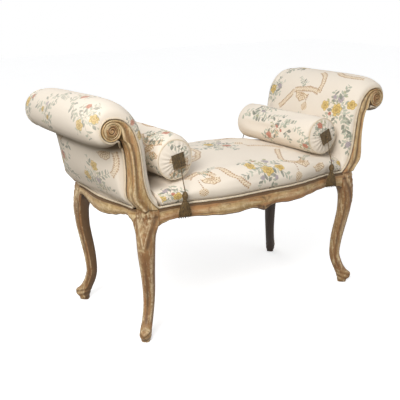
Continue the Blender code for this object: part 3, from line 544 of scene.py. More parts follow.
# The last of these is the dark brown of the cloth's painted shade
CLOTH, CLOTH_DULL, CLOTH_WORN, CLOTH_PAINTED_SHADE = "#F1E6D6", "#E4D5C0", "#D9CAB8", "#5E4A30"
LEAF_PALE, LEAF, LEAF_DARK = "#C5C8B4", "#9FA792", "#677264"
LEAF_YELLOW = "#A9A878"
STEM = "#8B8A6E"
BAND, DOTS = "#F0D6A4", "#A06B28"       # of ribbons, shells and drops
FLOWER_INKS = {"ochre": ("#E3C164", "#97702C"), "rust": ("#CE8A70", "#B15E48"),
               "mauve": ("#BFB2B4", "#94868F")}
STRENGTH = 0.82         # of the inks on the cloth

# Which of a motif's numbers are whole millimetres (m), and which are plain (n)
UNITS = {"bouquet": "mmnnm", "flower": "mmmn", "branch": "mmmnm", "ribbon": "mmmmmm",
         "shell": "mmmn", "drop": "mmmmn"}


def read_numbers(kind, words):
    return [int(word) / 1000 if unit == "m" else int(word)
            for word, unit in zip(words, UNITS[kind])]


def read_print(text):
    """The motifs of a print: each one's kind and numbers, and a bouquet's flowers."""
    motifs = []
    for row in text.split(";"):
        (kind, *words), *flowers = [part.split() for part in row.split(",")]
        motif = [kind, *read_numbers(kind, words)]
        if flowers:
            motif.append([(*read_numbers("flower", words), words[-1]) for words in flowers])
        motifs.append(motif)
    return motifs


# Prints: each one's repeat in metres, and its motifs' places in millimetres of the piece's
# cloth. On the seat u runs along it and v up its front and back over the top; on an arm u
# runs back and -v up from the seat; on a panel v runs up; on a bolster v runs round it from
# the inside. A bouquet has its place, turn in degrees, leafy arms and their reach, and after
# commas its flowers: place in the bouquet, radius, petals and ink. A branch has its foot,
# length, turn and leaf. A ribbon is an arc through three points. A shell and a drop have
# their place, size and turn.
PRINTS = {
    "seat": ((0.86, 0.66), read_print("""
        ribbon -262 100 -214 122 -172 94;
        shell -190 94 34 -92;
        branch -212 112 85 22 17;
        drop -232 88 36 16 -90;
        ribbon -138 140 -112 78 -66 30;
        ribbon 200 232 150 172 122 124;
        ribbon 122 124 150 92 212 112;
        shell 186 94 34 -95;
        shell 252 64 33 -80;
        drop 142 88 40 16 -90;
        branch 196 104 75 14 17;
        bouquet -348 50 60 7 58, -27 -10 21 6 ochre, 29 -12 20 5 ochre, -4 24 11 5 mauve,
            14 2 8 5 rust;
        bouquet 18 88 15 8 98, -49 14 22 5 ochre, 2 -16 25 6 ochre, 54 -12 20 5 ochre,
            32 36 15 6 mauve, -26 -40 10 5 mauve, 28 -46 9 5 mauve, -12 46 8 5 rust;
        bouquet 52 385 100 8 92, -24 22 21 5 ochre, 26 -20 19 6 rust, 30 30 13 5 mauve;
        bouquet 372 60 30 7 52, 4 -4 20 5 ochre, -30 10 11 5 mauve;
        bouquet -300 330 200 8 95, -28 12 22 6 ochre, 24 20 20 5 ochre, 6 -28 14 5 rust,
            -40 -30 12 5 mauve;
        bouquet 330 330 70 8 95, -24 20 21 5 rust, 26 8 22 6 ochre, 2 -30 13 5 mauve;
        ribbon -200 250 -135 258 -90 310;
        ribbon -90 310 -62 372 -105 424;
        shell -135 292 29 60;
        ribbon 140 330 200 300 226 240;
        drop 152 330 36 16 100;
        ribbon -250 470 -180 500 -120 480;
        ribbon 120 480 190 505 260 470;
        drop -180 506 30 15 90;
        drop 190 510 30 15 90""")),
    "arm_left": ((0.52, 0.58), read_print("""
        bouquet 30 -492 15 6 64, 16 10 10 5 ochre, -22 -8 9 5 ochre, -4 30 8 5 mauve;
        branch 20 -452 85 128 18;
        branch -10 -420 60 190 16;
        branch -120 -440 60 215 20;
        bouquet -214 -468 40 7 60, 20 -26 19 5 ochre, -28 6 19 6 ochre, 16 34 11 5 rust;
        bouquet 176 -470 110 7 62, 0 0 21 6 ochre, -30 18 11 5 rust;
        bouquet -110 -404 10 6 50, -14 -2 15 5 rust;
        bouquet -236 -270 90 7 70, -12 30 18 5 ochre, 22 -14 13 5 mauve, -16 -22 12 5 rust;
        bouquet -160 -120 20 8 75, -30 -14 21 6 ochre, 20 12 19 5 ochre;
        ribbon -130 -360 -90 -300 -110 -230;
        ribbon -110 -230 -60 -170 10 -180;
        shell -30 -200 30 92;
        drop -110 -240 36 16 90;
        bouquet 80 -290 75 8 85, -22 16 21 5 ochre, 28 4 20 6 rust, 0 -32 13 5 mauve;
        ribbon 120 -110 180 -170 200 -250;
        shell 180 -180 28 100""")),
    "arm_right": ((0.52, 0.58), read_print("""
        bouquet -178 -226 150 7 78, 54 6 21 5 ochre, -4 14 25 6 ochre, -56 -14 21 5 ochre,
            -8 -26 16 5 mauve, 20 -30 10 5 mauve, 22 32 8 5 rust;
        branch -190 -250 60 262 26;
        branch -206 -206 98 112 24;
        branch -228 -190 80 95 20;
        bouquet -250 -108 20 5 40, 0 6 12 5 mauve;
        ribbon -18 -352 -66 -310 -72 -262;
        ribbon -72 -262 -10 -268 52 -256;
        ribbon 52 -256 80 -218 112 -186;
        shell 8 -254 34 88;
        drop -26 -250 32 15 82;
        ribbon -212 -366 -140 -350 -86 -372;
        bouquet 166 -248 60 7 58, 12 0 21 5 ochre, -24 -14 12 5 mauve;
        branch 8 -284 58 330 16;
        bouquet 20 -110 200 8 80, -22 10 20 5 rust, 26 -4 21 6 ochre;
        bouquet -60 -450 130 8 85, -24 10 21 5 ochre, 24 -10 20 6 ochre, 4 32 12 5 mauve;
        bouquet 130 -400 35 8 80, -18 10 21 6 ochre, 26 0 16 5 rust;
        branch 10 -520 110 20 22""")),
    "panel": ((0.44, 0.3), read_print("""
        ribbon -180 196 -176 150 -150 120;
        shell -136 196 30 265;
        bouquet -68 98 25 8 82, -6 42 20 5 ochre, 54 -2 21 6 ochre, -8 -8 14 5 mauve;
        branch 60 206 80 285 22;
        branch 60 80 60 330 20;
        ribbon 20 236 78 226 132 190;
        bouquet 152 120 70 7 70, -16 14 19 5 rust, 20 -14 18 6 ochre""")),
    "bolster_left": ((0.56, 0.42), read_print("""
        branch -60 182 60 200 16;
        ribbon -180 150 -120 172 -60 150;
        drop -110 122 10 13 90;
        shell -165 190 24 90;
        bouquet -130 128 50 7 58, -16 -16 14 5 rust;
        ribbon -80 60 0 90 60 50;
        bouquet 50 170 10 8 80, -24 8 21 6 ochre, 24 10 19 5 ochre;
        bouquet -50 330 10 8 80, -22 6 21 6 ochre, 22 6 18 5 rust;
        branch 370 262 60 320 18;
        branch 440 226 60 200 18;
        shell 418 196 24 300""")),
    "bolster_right": ((0.56, 0.42), read_print("""
        branch 160 176 80 205 26;
        branch 108 168 100 172 22;
        bouquet 68 140 80 6 50, 4 2 9 5 mauve;
        branch 20 160 75 186 20;
        drop -34 200 4 12 110;
        bouquet -24 196 35 5 36, -14 -6 8 5 rust, -34 6 7 5 rust;
        branch -62 190 52 215 24;
        branch -66 168 58 176 22;
        branch -90 200 44 120 20;
        branch -188 236 40 245 12;
        bouquet 4 228 75 5 34, -4 0 16 5 rust;
        ribbon -160 80 -90 100 -30 80;
        bouquet 60 40 10 8 80, -22 8 21 6 ochre, 24 10 19 5 ochre;
        bouquet -60 350 10 8 80, -22 6 21 6 ochre, 22 6 18 5 rust;
        bouquet 386 240 100 5 36, -4 0 12 5 rust;
        branch 430 176 50 150 18""")),
}


def arc_through(*points):
    """Centre, radius and half angle of the arc through three points, and its middle's angle."""
    a, b, c = [Vector(points[k:k + 2]) for k in (0, 2, 4)]
    d = 2 * (a.x * (b.y - c.y) + b.x * (c.y - a.y) + c.x * (a.y - b.y))
    squares = [p.length_squared for p in (a, b, c)]
    x = (squares[0] * (b.y - c.y) + squares[1] * (c.y - a.y) + squares[2] * (a.y - b.y)) / d
    y = (squares[0] * (c.x - b.x) + squares[1] * (a.x - c.x) + squares[2] * (b.x - a.x)) / d
    centre = Vector((x, y))
    middle = (a + c) / 2 - centre
    if (b - centre).dot(middle) < 0:
        middle = -middle
    return centre, (a - centre).length, middle.angle(a - centre), atan2(middle.y, middle.x)


def wrapped(m, place, centre, repeat):
    """A place in the print measured from a centre, the nearest of its repeats."""
    away = m.vector("SUBTRACT", place, (*centre, 0.0))
    half = (repeat[0] / 2, repeat[1] / 2, 1.0)
    return m.vector("WRAP", away, half, tuple(-h for h in half))


def turned(m, vector, turn_deg):
    """The two parts of a vector, in axes turned by an angle."""
    c, s = cos(radians(turn_deg)), sin(radians(turn_deg))
    return m.vector("DOT_PRODUCT", vector, (c, s, 0.0)), m.vector("DOT_PRODUCT", vector, (-s, c, 0.0))


def leaf_tone(m, chance):
    """A leaf's ink, pale, middling or dark by its own chance."""
    tone = m.mix(m.step(chance, 0.20, 0.42), LEAF_PALE, LEAF)
    return m.mix(m.step(chance, 0.60, 0.82), tone, LEAF_DARK)


# Each of these gives a motif's layers: a mask, its ink's strength and its ink. Local is the
# place measured from the motif's spot, and the spot seeds the chances of its leaves.

def bouquet_layers(m, local, spot, turn, arms, reach, flowers):
    x, y = turned(m, local, turn)
    far = m.length(x, y)
    sector = tau / arms
    angle = m.math("ARCTAN2", y, x) / sector
    index = m.math("ROUND", angle)
    chance = m.chance(index + (spot[0] * 100 + spot[1] * 10))
    bend = (far - 0.03) * 6.0
    folded = (angle - index - (chance - 0.5) * 0.45) * sector + bend * (chance - 0.5)
    c, s = m.round_turn(folded)
    blade, stem, vein, own = use(m, SPRAY, far * c, far * s, reach * (0.66 + chance * 0.5),
                                 LEAF_PITCH, LEAF_LONG, index * 90.0 + spot[0] * 1000)
    tone = m.mix(chance < 0.20, leaf_tone(m, own), LEAF_YELLOW)
    layers = [(stem, 1.0, STEM), (blade, 1.0, tone), (vein, 0.5, LEAF_DARK)]
    for fu, fv, radius, petals, name in flowers:
        x, y = turned(m, m.vector("SUBTRACT", local, (fu, fv, 0.0)), turn + fu * 3000)
        petal, line, heart = use(m, FLOWER, x, y, radius * 0.90, float(petals))
        fill, dark = FLOWER_INKS[name]
        layers += [(petal, 1.08, fill), (line * petal, 1.0, dark), (heart, 0.9, dark)]
    return layers


def branch_layers(m, local, spot, length, turn, leaf):
    x, y = turned(m, local, turn)
    blade, stem, vein, own = use(m, SPRAY, x, y - x * x * 1.6, length, leaf * 0.72, leaf * 0.95,
                                 spot[0] * 1000)
    return [(stem, 1.0, STEM), (blade, 1.0, leaf_tone(m, own)), (vein, 0.5, LEAF_DARK)]


def ribbon_layers(m, local, spot, radius, half, middle):
    """A ribbon on an arc round its spot, by its radius, half angle and middle angle."""
    x, y = turned(m, local, degrees(middle))
    angle = m.math("ARCTAN2", y, x)
    band, dots = use(m, RIBBON, m.length(x, y) - radius, angle * radius)
    shown = m.under(abs(angle), half, 0.001 / radius)
    return [(band * shown, 0.45, BAND), (dots * shown, 0.9, DOTS)]


def shell_layers(m, local, spot, radius, turn):
    body, rays = use(m, SHELL, *turned(m, local, turn), radius)
    return [(body, 0.55, BAND), (rays, 0.9, DOTS)]


def drop_layers(m, local, spot, length, radius, turn):
    ball, beads = use(m, DROP, *turned(m, local, turn), length, radius)
    return [(ball, 0.5, BAND), (beads, 1.0, DOTS)]


MOTIF_GROUPS = {}
LAYERS = {"bouquet": bouquet_layers, "branch": branch_layers, "ribbon": ribbon_layers,
          "shell": shell_layers, "drop": drop_layers}


def motif_group(repeat, row):
    """The node group that prints one motif of a print over a colour, made once."""
    label = " ".join(str(value) for value in (*repeat, *row))
    kind, *values = row
    if kind == "ribbon":
        spot, *values = arc_through(*values)
    else:
        spot, values = values[:2], values[2:]

    def draw(m, place, colour, wash):
        local = wrapped(m, place, spot, repeat)
        for mask, strength, tint in LAYERS[kind](m, local, spot, *values):
            colour = m.mix(mask * (strength * STRENGTH) * wash, colour, tint)
        return [colour]

    if label not in MOTIF_GROUPS:
        inputs = [("place", "Vector"), ("colour", "Color"), ("wash", "Float")]
        MOTIF_GROUPS[label] = group("print", inputs, "Color", ["printed"], draw)
    return MOTIF_GROUPS[label]


def make_cotton(name, repeat, motifs, kept=1.0):
    """Cotton printed with some motifs, whose inks are kept by a share."""
    m = Finish("cotton_" + name)
    place = m.node("UVMap", uv_map="cloth")
    shake = m.node("TexNoise", {"Vector": place, "Scale": 55.0, "Detail": 2.0}, 1)
    shake = m.vector("MULTIPLY", m.vector("SUBTRACT", shake, (0.5, 0.5, 0.5)), (SHAKE, SHAKE, 0.0))
    drawn = m.vector("ADD", place, shake)
    wash = (0.55 + m.step(m.noise(place, 75.0, 3.0, 0.6), 0.15, 0.55) * 0.45) * kept
    colour = m.mix(m.noise(place, 9.0, 3.0) * 0.4, CLOTH, CLOTH_DULL)
    for row in motifs:
        colour = use(m, motif_group(repeat, row), drawn, colour, wash)[0]
    wear = m.noise(place, 60.0, 4.0, 0.7)
    colour = m.mix(wear * 0.16, colour, CLOTH_WORN)
    # Painted shade: cloth darkened where shade falls, under the rolls, on the panels' tops and in the
    # seat's corners
    colour = m.mix(m.attribute("fold"), colour, CLOTH_PAINTED_SHADE)
    weave = m.weave(place, THREAD_PITCH) + wear * 1.5
    return m.done(colour, 0.78 + wear * 0.14, weave, 0.00012, 0.5, specular=0.25, sheen=0.08)


def motif_place(kind, *row):
    """The place of a motif's middle, and how far it reaches from there."""
    if kind == "ribbon":
        centre, radius, half, middle = arc_through(*row)
        spot = centre + radius * Vector((cos(middle), sin(middle)))
        return spot, radius * min(half, 1.0) + 0.010
    spot = Vector(row[:2])
    if kind == "bouquet":
        return spot, row[4] * 1.2
    if kind == "branch":
        return spot, row[2] * 1.05 + row[4]
    return spot, row[2] + 0.036


def near_motifs(name, low, high):
    """The motifs of a print that reach into a patch of its cloth."""
    repeat, motifs = PRINTS[name]
    near = []
    for row in motifs:
        spot, reach = motif_place(*row)
        away = []
        for k in range(2):
            middle = (low[k] + high[k]) / 2
            gap = (spot[k] - middle + repeat[k] / 2) % repeat[k] - repeat[k] / 2
            away.append(max(0.0, abs(gap) - (high[k] - low[k]) / 2 - PATCH_MARGIN))
        if hypot(*away) < reach:
            near.append(row)
    return near


def lay_print(mesh, name):
    """Give each patch of a cover a material that draws only the motifs near it."""
    repeat = PRINTS[name][0]
    counts = [max(1, round(size / PATCH)) for size in repeat]
    steps = [size / count for size, count in zip(repeat, counts)]
    uvs = mesh.uv_layers["cloth"].data
    order = []
    for polygon in mesh.polygons:
        spots = [uvs[k].uv for k in polygon.loop_indices]
        middle = sum(spots, Vector((0.0, 0.0))) / len(spots)
        patch = tuple(int(middle[k] % repeat[k] / steps[k]) % counts[k] for k in range(2))
        if patch not in order:
            order.append(patch)
            low = [patch[k] * steps[k] for k in range(2)]
            high = [low[k] + steps[k] for k in range(2)]
            tag = f"{name}_{patch[0]}_{patch[1]}"
            if tag not in COTTONS:
                motifs = near_motifs(name, low, high)
                COTTONS[tag] = make_cotton(tag, repeat, motifs, FADED.get(name, 1.0))
            mesh.materials.append(COTTONS[tag])
        polygon.material_index = order.index(patch)


def make_welt_cotton():
    """The plain cream cotton of the pipings."""
    m = Finish("piping_cotton")
    place = m.on_object()
    tone = m.noise(place, 90.0, 4.0, 0.6)
    wave = m.node("TexWave", {"Vector": place, "Scale": 420.0, "Distortion": 1.0}, 1,
                  wave_type="BANDS", bands_direction="DIAGONAL")
    colour = m.mix(tone, "#EEE1CC", "#CDBA9A")
    return m.done(colour, 0.85, wave + tone, 0.0002, 0.6, specular=0.25)


def make_painted_wood(name, tones, reds, stretch, streaks):
    """Worn cream and ochre paint over red bole, with brown glaze left in the carving.

    Tones are the paint's two main colours, reds is how much of the bole shows and streaks
    how strong the brush's streaks are, which stretch draws out. A mesh says by its points
    where its carving is deep (groove, which past 1 is painted shade) and where its paint is
    rubbed down to the bole (bare).
    """
    m = Finish(name)
    place = m.on_object()
    deep = m.attribute("groove")
    blotch = m.noise(place, 58.0, 4.0, 0.62)
    fine = m.noise(place, 150.0, 5.0, 0.65)
    long_place = m.vector("MULTIPLY", place, stretch)
    streak = m.noise(long_place, 120.0, 4.0, 0.65)
    thin = m.noise(m.vector("ADD", long_place, (0.3, 0.7, 0.1)), 260.0, 3.0, 0.6)
    patch = m.noise(m.vector("ADD", long_place, (0.9, 0.2, 0.4)), 34.0, 5.0, 0.7)
    layers = [
        (m.step(streak, 0.50, 0.64) * (0.55 * streaks), "#E8D2A8"),
        (m.step(thin, 0.52, 0.66) * (0.45 * streaks), "#7F5D34"),
        (m.step(blotch, 0.46, 0.34) * 0.45, "#ECD7A8"),
        (m.step(blotch, 0.54, 0.68) * 0.55, "#7C552C"),
        (m.step(patch, 0.68 - 0.14 * reds, 0.82 - 0.14 * reds) * 0.60, "#AA6C3C"),
        (m.attribute("bare") * m.step(blotch, 0.62, 0.40) * 0.92, "#7B4B22"),
        (m.step(fine, 0.56, 0.74) * 0.45, "#7E5E36"),
        (m.step(deep, 0.0, -0.8) * m.step(fine, 0.70, 0.40) * 0.85, "#EBD6B0"),
        (m.step(deep + (streak - 0.5) * (0.9 * streaks), 0.02, 0.85) * 0.95, "#553A1C"),
        # groove past 1.05: near black brown, painted shade on the legs' inner faces
        (m.step(deep, 1.05, 1.8) * 0.92, "#241509")]
    colour = m.mix(m.step(m.noise(place, 11.0, 4.0, 0.6), 0.36, 0.64), *tones)
    for share, tint in layers:
        colour = m.mix(share, colour, tint)
    return m.done(colour, 0.44 + fine * 0.3, fine * 0.6 + streak * 0.9, 0.0006, 0.7)


def make_plain_wood():
    m = Finish("plain_wood")
    place = m.on_object()
    grain = m.noise(m.vector("MULTIPLY", place, (0.3, 0.12, 1.0)), 160.0, 4.0, 0.6)
    colour = m.mix(grain, "#8A6238", "#B38A56")
    colour = m.mix(m.noise(place, 12.0, 3.0) * 0.4, colour, "#6B4A2A")
    return m.done(colour, 0.6 + grain * 0.25, grain, 0.0005, 0.6)


def make_jute():
    m = Finish("jute")
    place = m.on_object()
    shade = m.weave(place, JUTE_PITCH) * 0.22 + m.noise(place, 240.0, 3.0, 0.7)
    return m.done(m.mix(m.step(shade, 0.2, 0.8), "#7E6440", "#B39768"), 0.9, shade, 0.0006, 0.8)


def make_thread(name, dark, light, scale):
    """Dull bronze thread of the tassels and braid."""
    m = Finish(name)
    place = m.on_object()
    tone = m.noise(m.vector("MULTIPLY", place, (1.0, 1.0, 0.25)), scale, 4.0, 0.7)
    glint = m.noise(place, scale * 2.5, 2.0, 0.5)
    colour = m.mix(m.step(tone, 0.3, 0.7), dark, light)
    colour = m.mix(m.step(glint, 0.62, 0.75), colour, "#9C8554")
    return m.done(colour, 0.75 - glint * 0.3, tone, 0.0003, 0.7, metallic=0.25)


PATCH = 0.22            # sides of the patches of cloth that have a material of their own
PATCH_MARGIN = 0.012
FADED = {"arm_left": 0.74, "panel": 0.82}      # what is left of the inks there
COTTONS = {}
WELT = make_welt_cotton()
OCHRE_PAINT = ("#C9A978", "#AA8A58")
# The legs' paint is a darker copy of the posts', painted shade for legs that get less light
LEG_PAINT_SHADED = ("#A58156", "#7C5730")
PAINTED = make_painted_wood("painted_post", OCHRE_PAINT, 1.3, (1.0, 1.0, 0.14), 1.4)
PAINTED_LEG_SHADED = make_painted_wood("painted_leg_shaded", LEG_PAINT_SHADED, 0.9, (1.0, 1.0, 0.14), 1.1)
PAINTED_RAIL = make_painted_wood("painted_rail", OCHRE_PAINT, 1.6, (0.12, 0.12, 1.0), 0.9)
ROSETTE = make_painted_wood("painted_rosette", OCHRE_PAINT, 1.7, (1.0, 1.0, 1.0), 0.5)
PLAIN = make_plain_wood()
JUTE = make_jute()
THREAD = make_thread("bronze_thread", "#2E2211", "#795F36", 420.0)
BRAID = make_thread("woven_braid", "#362815", "#6E5938", 300.0)


# Meshes

def link(thing):
    bpy.context.scene.collection.objects.link(thing)
    return thing


def add_piece(name, mesh, material, body, nodes=()):
    """A piece of the scene that rides a body. A material given by name is a print's."""
    piece = link(bpy.data.objects.new(name, mesh))
    mesh.materials.clear()
    if isinstance(material, str):
        lay_print(mesh, material)
    else:
        mesh.materials.append(material)
    mesh.shade_smooth()
    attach(piece, body)
    if nodes:
        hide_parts(*nodes)
    return piece


def ring_faces(rows, count, flip, first=0):
    """Faces of a closed skin through rows of so many points, and its two ends."""
    faces = []
    for r in range(rows - 1):
        for i in range(count):
            j = (i + 1) % count
            low, high = first + r * count, first + (r + 1) * count
            faces.append((low + i, low + j, high + j, high + i))
    last = first + (rows - 1) * count
    ends = [tuple(range(first, first + count))[::-1], tuple(range(last, last + count))]
    return [face[::-1] if flip else face for face in faces + ends]


def ring_mesh(name, rows, cloth=False, flip=False, closed_ends=True, from_end=False):
    """A closed skin through rings that have the same number of points.

    With cloth, the UV map holds distances on the skin in metres: along the rows from the
    middle one, and round them from point 0 or back from the last.
    """
    faces = ring_faces(len(rows), len(rows[0]), flip)
    mesh = bpy.data.meshes.new(name)
    mesh.from_pydata([point for row in rows for point in row], [],
                     faces if closed_ends else faces[:-2])
    if cloth:
        lay_cloth(mesh, rows, len(rows) // 2, from_end)
    mesh.validate()
    return mesh


def lay_cloth(mesh, rows, middle, from_end):
    """Write the UV map cloth, in metres, on a mesh made by ring_mesh."""
    count = len(rows[0])
    round_ring = [reach_along([*row, row[0]]) for row in rows]
    columns = [reach_along([row[i] for row in rows]) for i in range(count)]
    layer = mesh.uv_layers.new(name="cloth")
    for polygon in mesh.polygons:
        spots = [divmod(mesh.loops[k].vertex_index, count) for k in polygon.loop_indices]
        seam = len(spots) == 4 and {i for _, i in spots} == {0, count - 1}
        for k, (r, i) in zip(polygon.loop_indices, spots):
            full = round_ring[middle][count if seam and i == 0 else i]
            along = columns[i][r] - columns[i][middle]
            if from_end:
                full -= round_ring[middle][count - 1]
            layer.data[k].uv = (along, full)


def set_points(mesh, name, values):
    """Write a value for each point, which a material reads by its name.

    Groove says how deep a point lies in the carving: below 0 it is rubbed pale, and above 1
    it is dark bare wood with painted shade. Bare says how far paint is rubbed off, and the
    cloth's painted shade how dark cloth is painted where shade falls.
    """
    mesh.attributes.new(name, "FLOAT", "POINT").data.foreach_set("value", values)


def add_wood(name, rings, flip, material, groove, bare=(), nodes=()):
    """A carved piece of the frame, with its groove and bare values by points."""
    mesh = ring_mesh(name, rings, flip=flip)
    set_points(mesh, "groove", groove)
    if bare:
        set_points(mesh, "bare", bare)
    add_piece(name, mesh, material, "bench", nodes)


def tube_mesh(name, line, radius, sides, up=Vector((0, 0, 1)), closed=False, shape=None):
    """A tube along a line, whose radius may be a number or one for each point."""
    rings = []
    count = len(line)
    normal = None
    for i, point in enumerate(line):
        if closed:
            ahead = line[(i + 1) % count] - line[i - 1]
        else:
            ahead = line[min(i + 1, count - 1)] - line[max(i - 1, 0)]
        ahead.normalize()
        start = up if normal is None else normal
        normal = start - ahead * start.dot(ahead)
        if normal.length < NO_LENGTH:
            normal = ahead.orthogonal()
        normal.normalize()
        side = ahead.cross(normal)
        size = radius[i] if isinstance(radius, list) else radius
        ring = []
        for turn, c, s in circle(sides):
            reach = size * (shape(i, turn) if shape else 1.0)
            ring.append(point + (normal * c + side * s) * reach)
        rings.append(ring)
    if closed:
        rings.append(rings[0])
        return weld(ring_mesh(name, rings, closed_ends=False))
    return ring_mesh(name, rings)


def weld(mesh):
    work = bmesh.new()
    work.from_mesh(mesh)
    bmesh.ops.remove_doubles(work, verts=work.verts, dist=GAP / 10)
    work.to_mesh(mesh)
    work.free()
    return mesh


NO_LENGTH = 1e-5
PUFF_PRESSURE = 4.0
PUFF_FRAMES = 20
PUFF_TRIES = 6              # towards a piece that is as full as it was drawn


def puff(piece, shares, cap, shrink):
    """Blow a stuffed piece up by cloth simulation from a shape that is smaller by a distance.

    Shares say how freely each point moves, from 0 to 1. No point goes further than the cap,
    and the piece comes out as full as it was drawn.
    """
    scene = bpy.context.scene
    mesh = piece.data
    normals = [v.normal.copy() for v in mesh.vertices]
    start = []
    for vertex, normal, share in zip(mesh.vertices, normals, shares):
        vertex.co -= normal * shrink * share
        start.append(vertex.co.copy())
    held = piece.vertex_groups.new(name="held")
    for i, share in enumerate(shares):
        held.add([i], 1.0 - share, "REPLACE")
    cloth = piece.modifiers.new("cloth", "CLOTH")
    cloth.settings.quality = 4
    cloth.settings.use_pressure = True
    cloth.settings.uniform_pressure_force = PUFF_PRESSURE
    cloth.settings.vertex_group_mass = "held"
    cloth.settings.effector_weights.gravity = 0.0
    cloth.point_cache.frame_end = PUFF_FRAMES
    for step in range(1, PUFF_FRAMES + 1):
        scene.frame_set(step)
    done = piece.evaluated_get(bpy.context.evaluated_depsgraph_get())
    moves = [v.co - a for v, a in zip(done.data.vertices, start)]
    piece.modifiers.remove(cloth)
    piece.vertex_groups.remove(held)
    scene.frame_set(1)
    loose = [i for i, share in enumerate(shares) if share > 0.5]
    wanted = sum(shrink * shares[i] for i in loose) / len(loose)
    size = 1.0
    for _ in range(PUFF_TRIES):
        ends = [capped(move * size, cap) * share for move, share in zip(moves, shares)]
        rise = sum(ends[i].dot(normals[i]) for i in loose) / len(loose)
        size *= min(4.0, max(0.25, wanted / max(rise, wanted / 10)))
    for vertex, a, end in zip(mesh.vertices, start, ends):
        vertex.co = a + end
    mesh.update()


def capped(move, cap):
    return move.normalized() * cap * tanh(move.length / cap)


def ring_shares(rows, count, along, across):
    """How free each point of a ring mesh is, from a function of its row and one of its place."""
    return [along(r / (rows - 1)) * across(i / count) for r in range(rows) for i in range(count)]


# The seat, the arms' padding and the outside panels

SEAT_PUFF, SEAT_PUFF_CAP = 0.007, 0.022
ARM_PUFF, ARM_PUFF_CAP = 0.005, 0.014
PANEL_PUFF, PANEL_PUFF_CAP = 0.005, 0.014
BOLSTER_PUFF, BOLSTER_PUFF_CAP = 0.0035, 0.010

PAD_POINTS = 54


def arm_path():
    """The line on a post's inner edge and round its scroll that the padding lies on."""
    start = Vector((edge_at(INNER_LINE, STUFF_Z), STUFF_Z))
    rise = [p for p in INNER_LINE if p.y > STUFF_Z]
    turn = SCROLL_START_DEG - SCROLL_END_DEG
    arc = [scroll_point(SCROLL_START_DEG - turn * i / 40, SCROLL_R) for i in range(41)]
    return evenly(shifted([start, *rise, *arc], GAP), PAD_POINTS)


ARM_PATH = arm_path()
ARM_PATH_shares = [reach / reach_along(ARM_PATH)[-1] for reach in reach_along(ARM_PATH)]
PAD_TABLES = {-1: PAD_LEFT_shares, 1: PAD_RIGHT_shares}
ROLL_START_share = 0.30
ROLL_FRONT_POWER = 3.6      # how square the roll is at its front end
ROLL_PAINTED_SHADE = 0.80            # painted shade along the roll's underside
ROLL_SHADE_FROM = 0.020      # below the scroll's middle
ROLL_SHADE_FULL = 0.057
ROLL_SHADE_WIDE = 0.030      # how far it fades towards the seat
ROLL_ROWS = 7               # of the round back end


def pad_line(side, along_share, full, least=0.0):
    """The padding's outer line in the arm's XZ plane, so full, at a share of its half length."""
    depths = []
    for share in ARM_PATH_shares:
        lean = 1 - ROLL_LEAN_share[side] * along_share * eased(share, 0.30, 0.60)
        depths.append(max(least, PAD_THICK * read_smooth(PAD_TABLES[side], share) * lean * full))
    line = shifted(ARM_PATH, depths)
    line[0].y = ARM_PATH[0].y
    return line


def pad_outline(side, along_share):
    power = 8 if along_share > 0 else ROLL_FRONT_POWER
    return pad_line(side, along_share, swell(along_share, power), PAD_END)


def roll_painted_shade(place, side):
    """How much painted shade a point of an arm's padding has: darker on the underside of its roll."""
    middle = scroll_point(0.0, 0.0)
    under = eased(middle.y - place.z, ROLL_SHADE_FROM, ROLL_SHADE_FULL)
    return ROLL_PAINTED_SHADE * under * eased(side * place.x - middle.x, -ROLL_SHADE_WIDE, 0.0)


def make_arm_pad(side_name, side):
    """The arm's inside padding and its roll in one, over the posts and the bar."""
    rings = []
    stations = [-1.0, -0.995, -0.985, -0.97, -0.95, -0.92, -0.88]
    stations += [-0.82 + 1.64 * i / 20 for i in range(21)]
    stations += [0.88, 0.92, 0.95, 0.975]
    for share in stations:
        section = ARM_PATH + pad_outline(side, share)[::-1]
        rings.append([Vector((side * p.x, share * PAD_HALF, p.y)) for p in section])
    rolls = [eased(share, ROLL_START_share, ROLL_START_share * 2) for share in ARM_PATH_shares]
    for part in range(ROLL_ROWS):
        bend = pi / 2 * part / (ROLL_ROWS - 1)
        section = pad_line(side, 1.0, 0.40 * (1 - cos(bend)))
        section += pad_line(side, 1.0, 0.40 + 0.55 * cos(bend))[::-1]
        ring = []
        for p, roll in zip(section, rolls + rolls[::-1]):
            y = PAD_HALF + ROLL_SWELLS[side] * sin(bend) * (0.45 + 0.55 * roll)
            ring.append(Vector((side * p.x, y, p.y)))
        rings.append(ring)
    name = "arm_pad_" + side_name
    mesh = ring_mesh(name + "_cover", rings, cloth=True, flip=side < 0, from_end=True)
    set_points(mesh, "fold", [roll_painted_shade(v.co, side) for v in mesh.vertices])
    piece = add_piece(name + "_cover", mesh, "arm_" + side_name, "bench", [name])
    shares = ring_shares(
        len(rings), PAD_POINTS * 2, lambda r: eased(r, 0.12, 0.24) * (1 - eased(r, 0.72, 0.86)),
        lambda i: eased(i, 0.54, 0.60) * (1 - eased(i, 0.86, 0.96)))
    puff(piece, shares, ARM_PUFF_CAP, ARM_PUFF)


def pad_face(height, along):
    """How far from the middle the seat may reach, at a height and a place along the arm."""
    share = min(abs(along) / PAD_HALF, 0.9)
    return min(edge_at(pad_outline(side, share), height) for side in (-1, 1))


SEAT_STATIONS = 49
SEAT_ROW = 20               # points from the seat's edge to its middle
SEAT_POWER = 3.2            # how square the seat's section is
# Painted shade in the seat's corners beside the bolsters: its place, width and strength
SEAT_CORNER_X = 0.350
SEAT_CORNER_WIDE = 0.030
SEAT_CORNER_SHADE = 0.55


def seat_height(share):
    return SEAT_END + (SEAT_CROWN - SEAT_END) * cos(pi / 2 * abs(share))


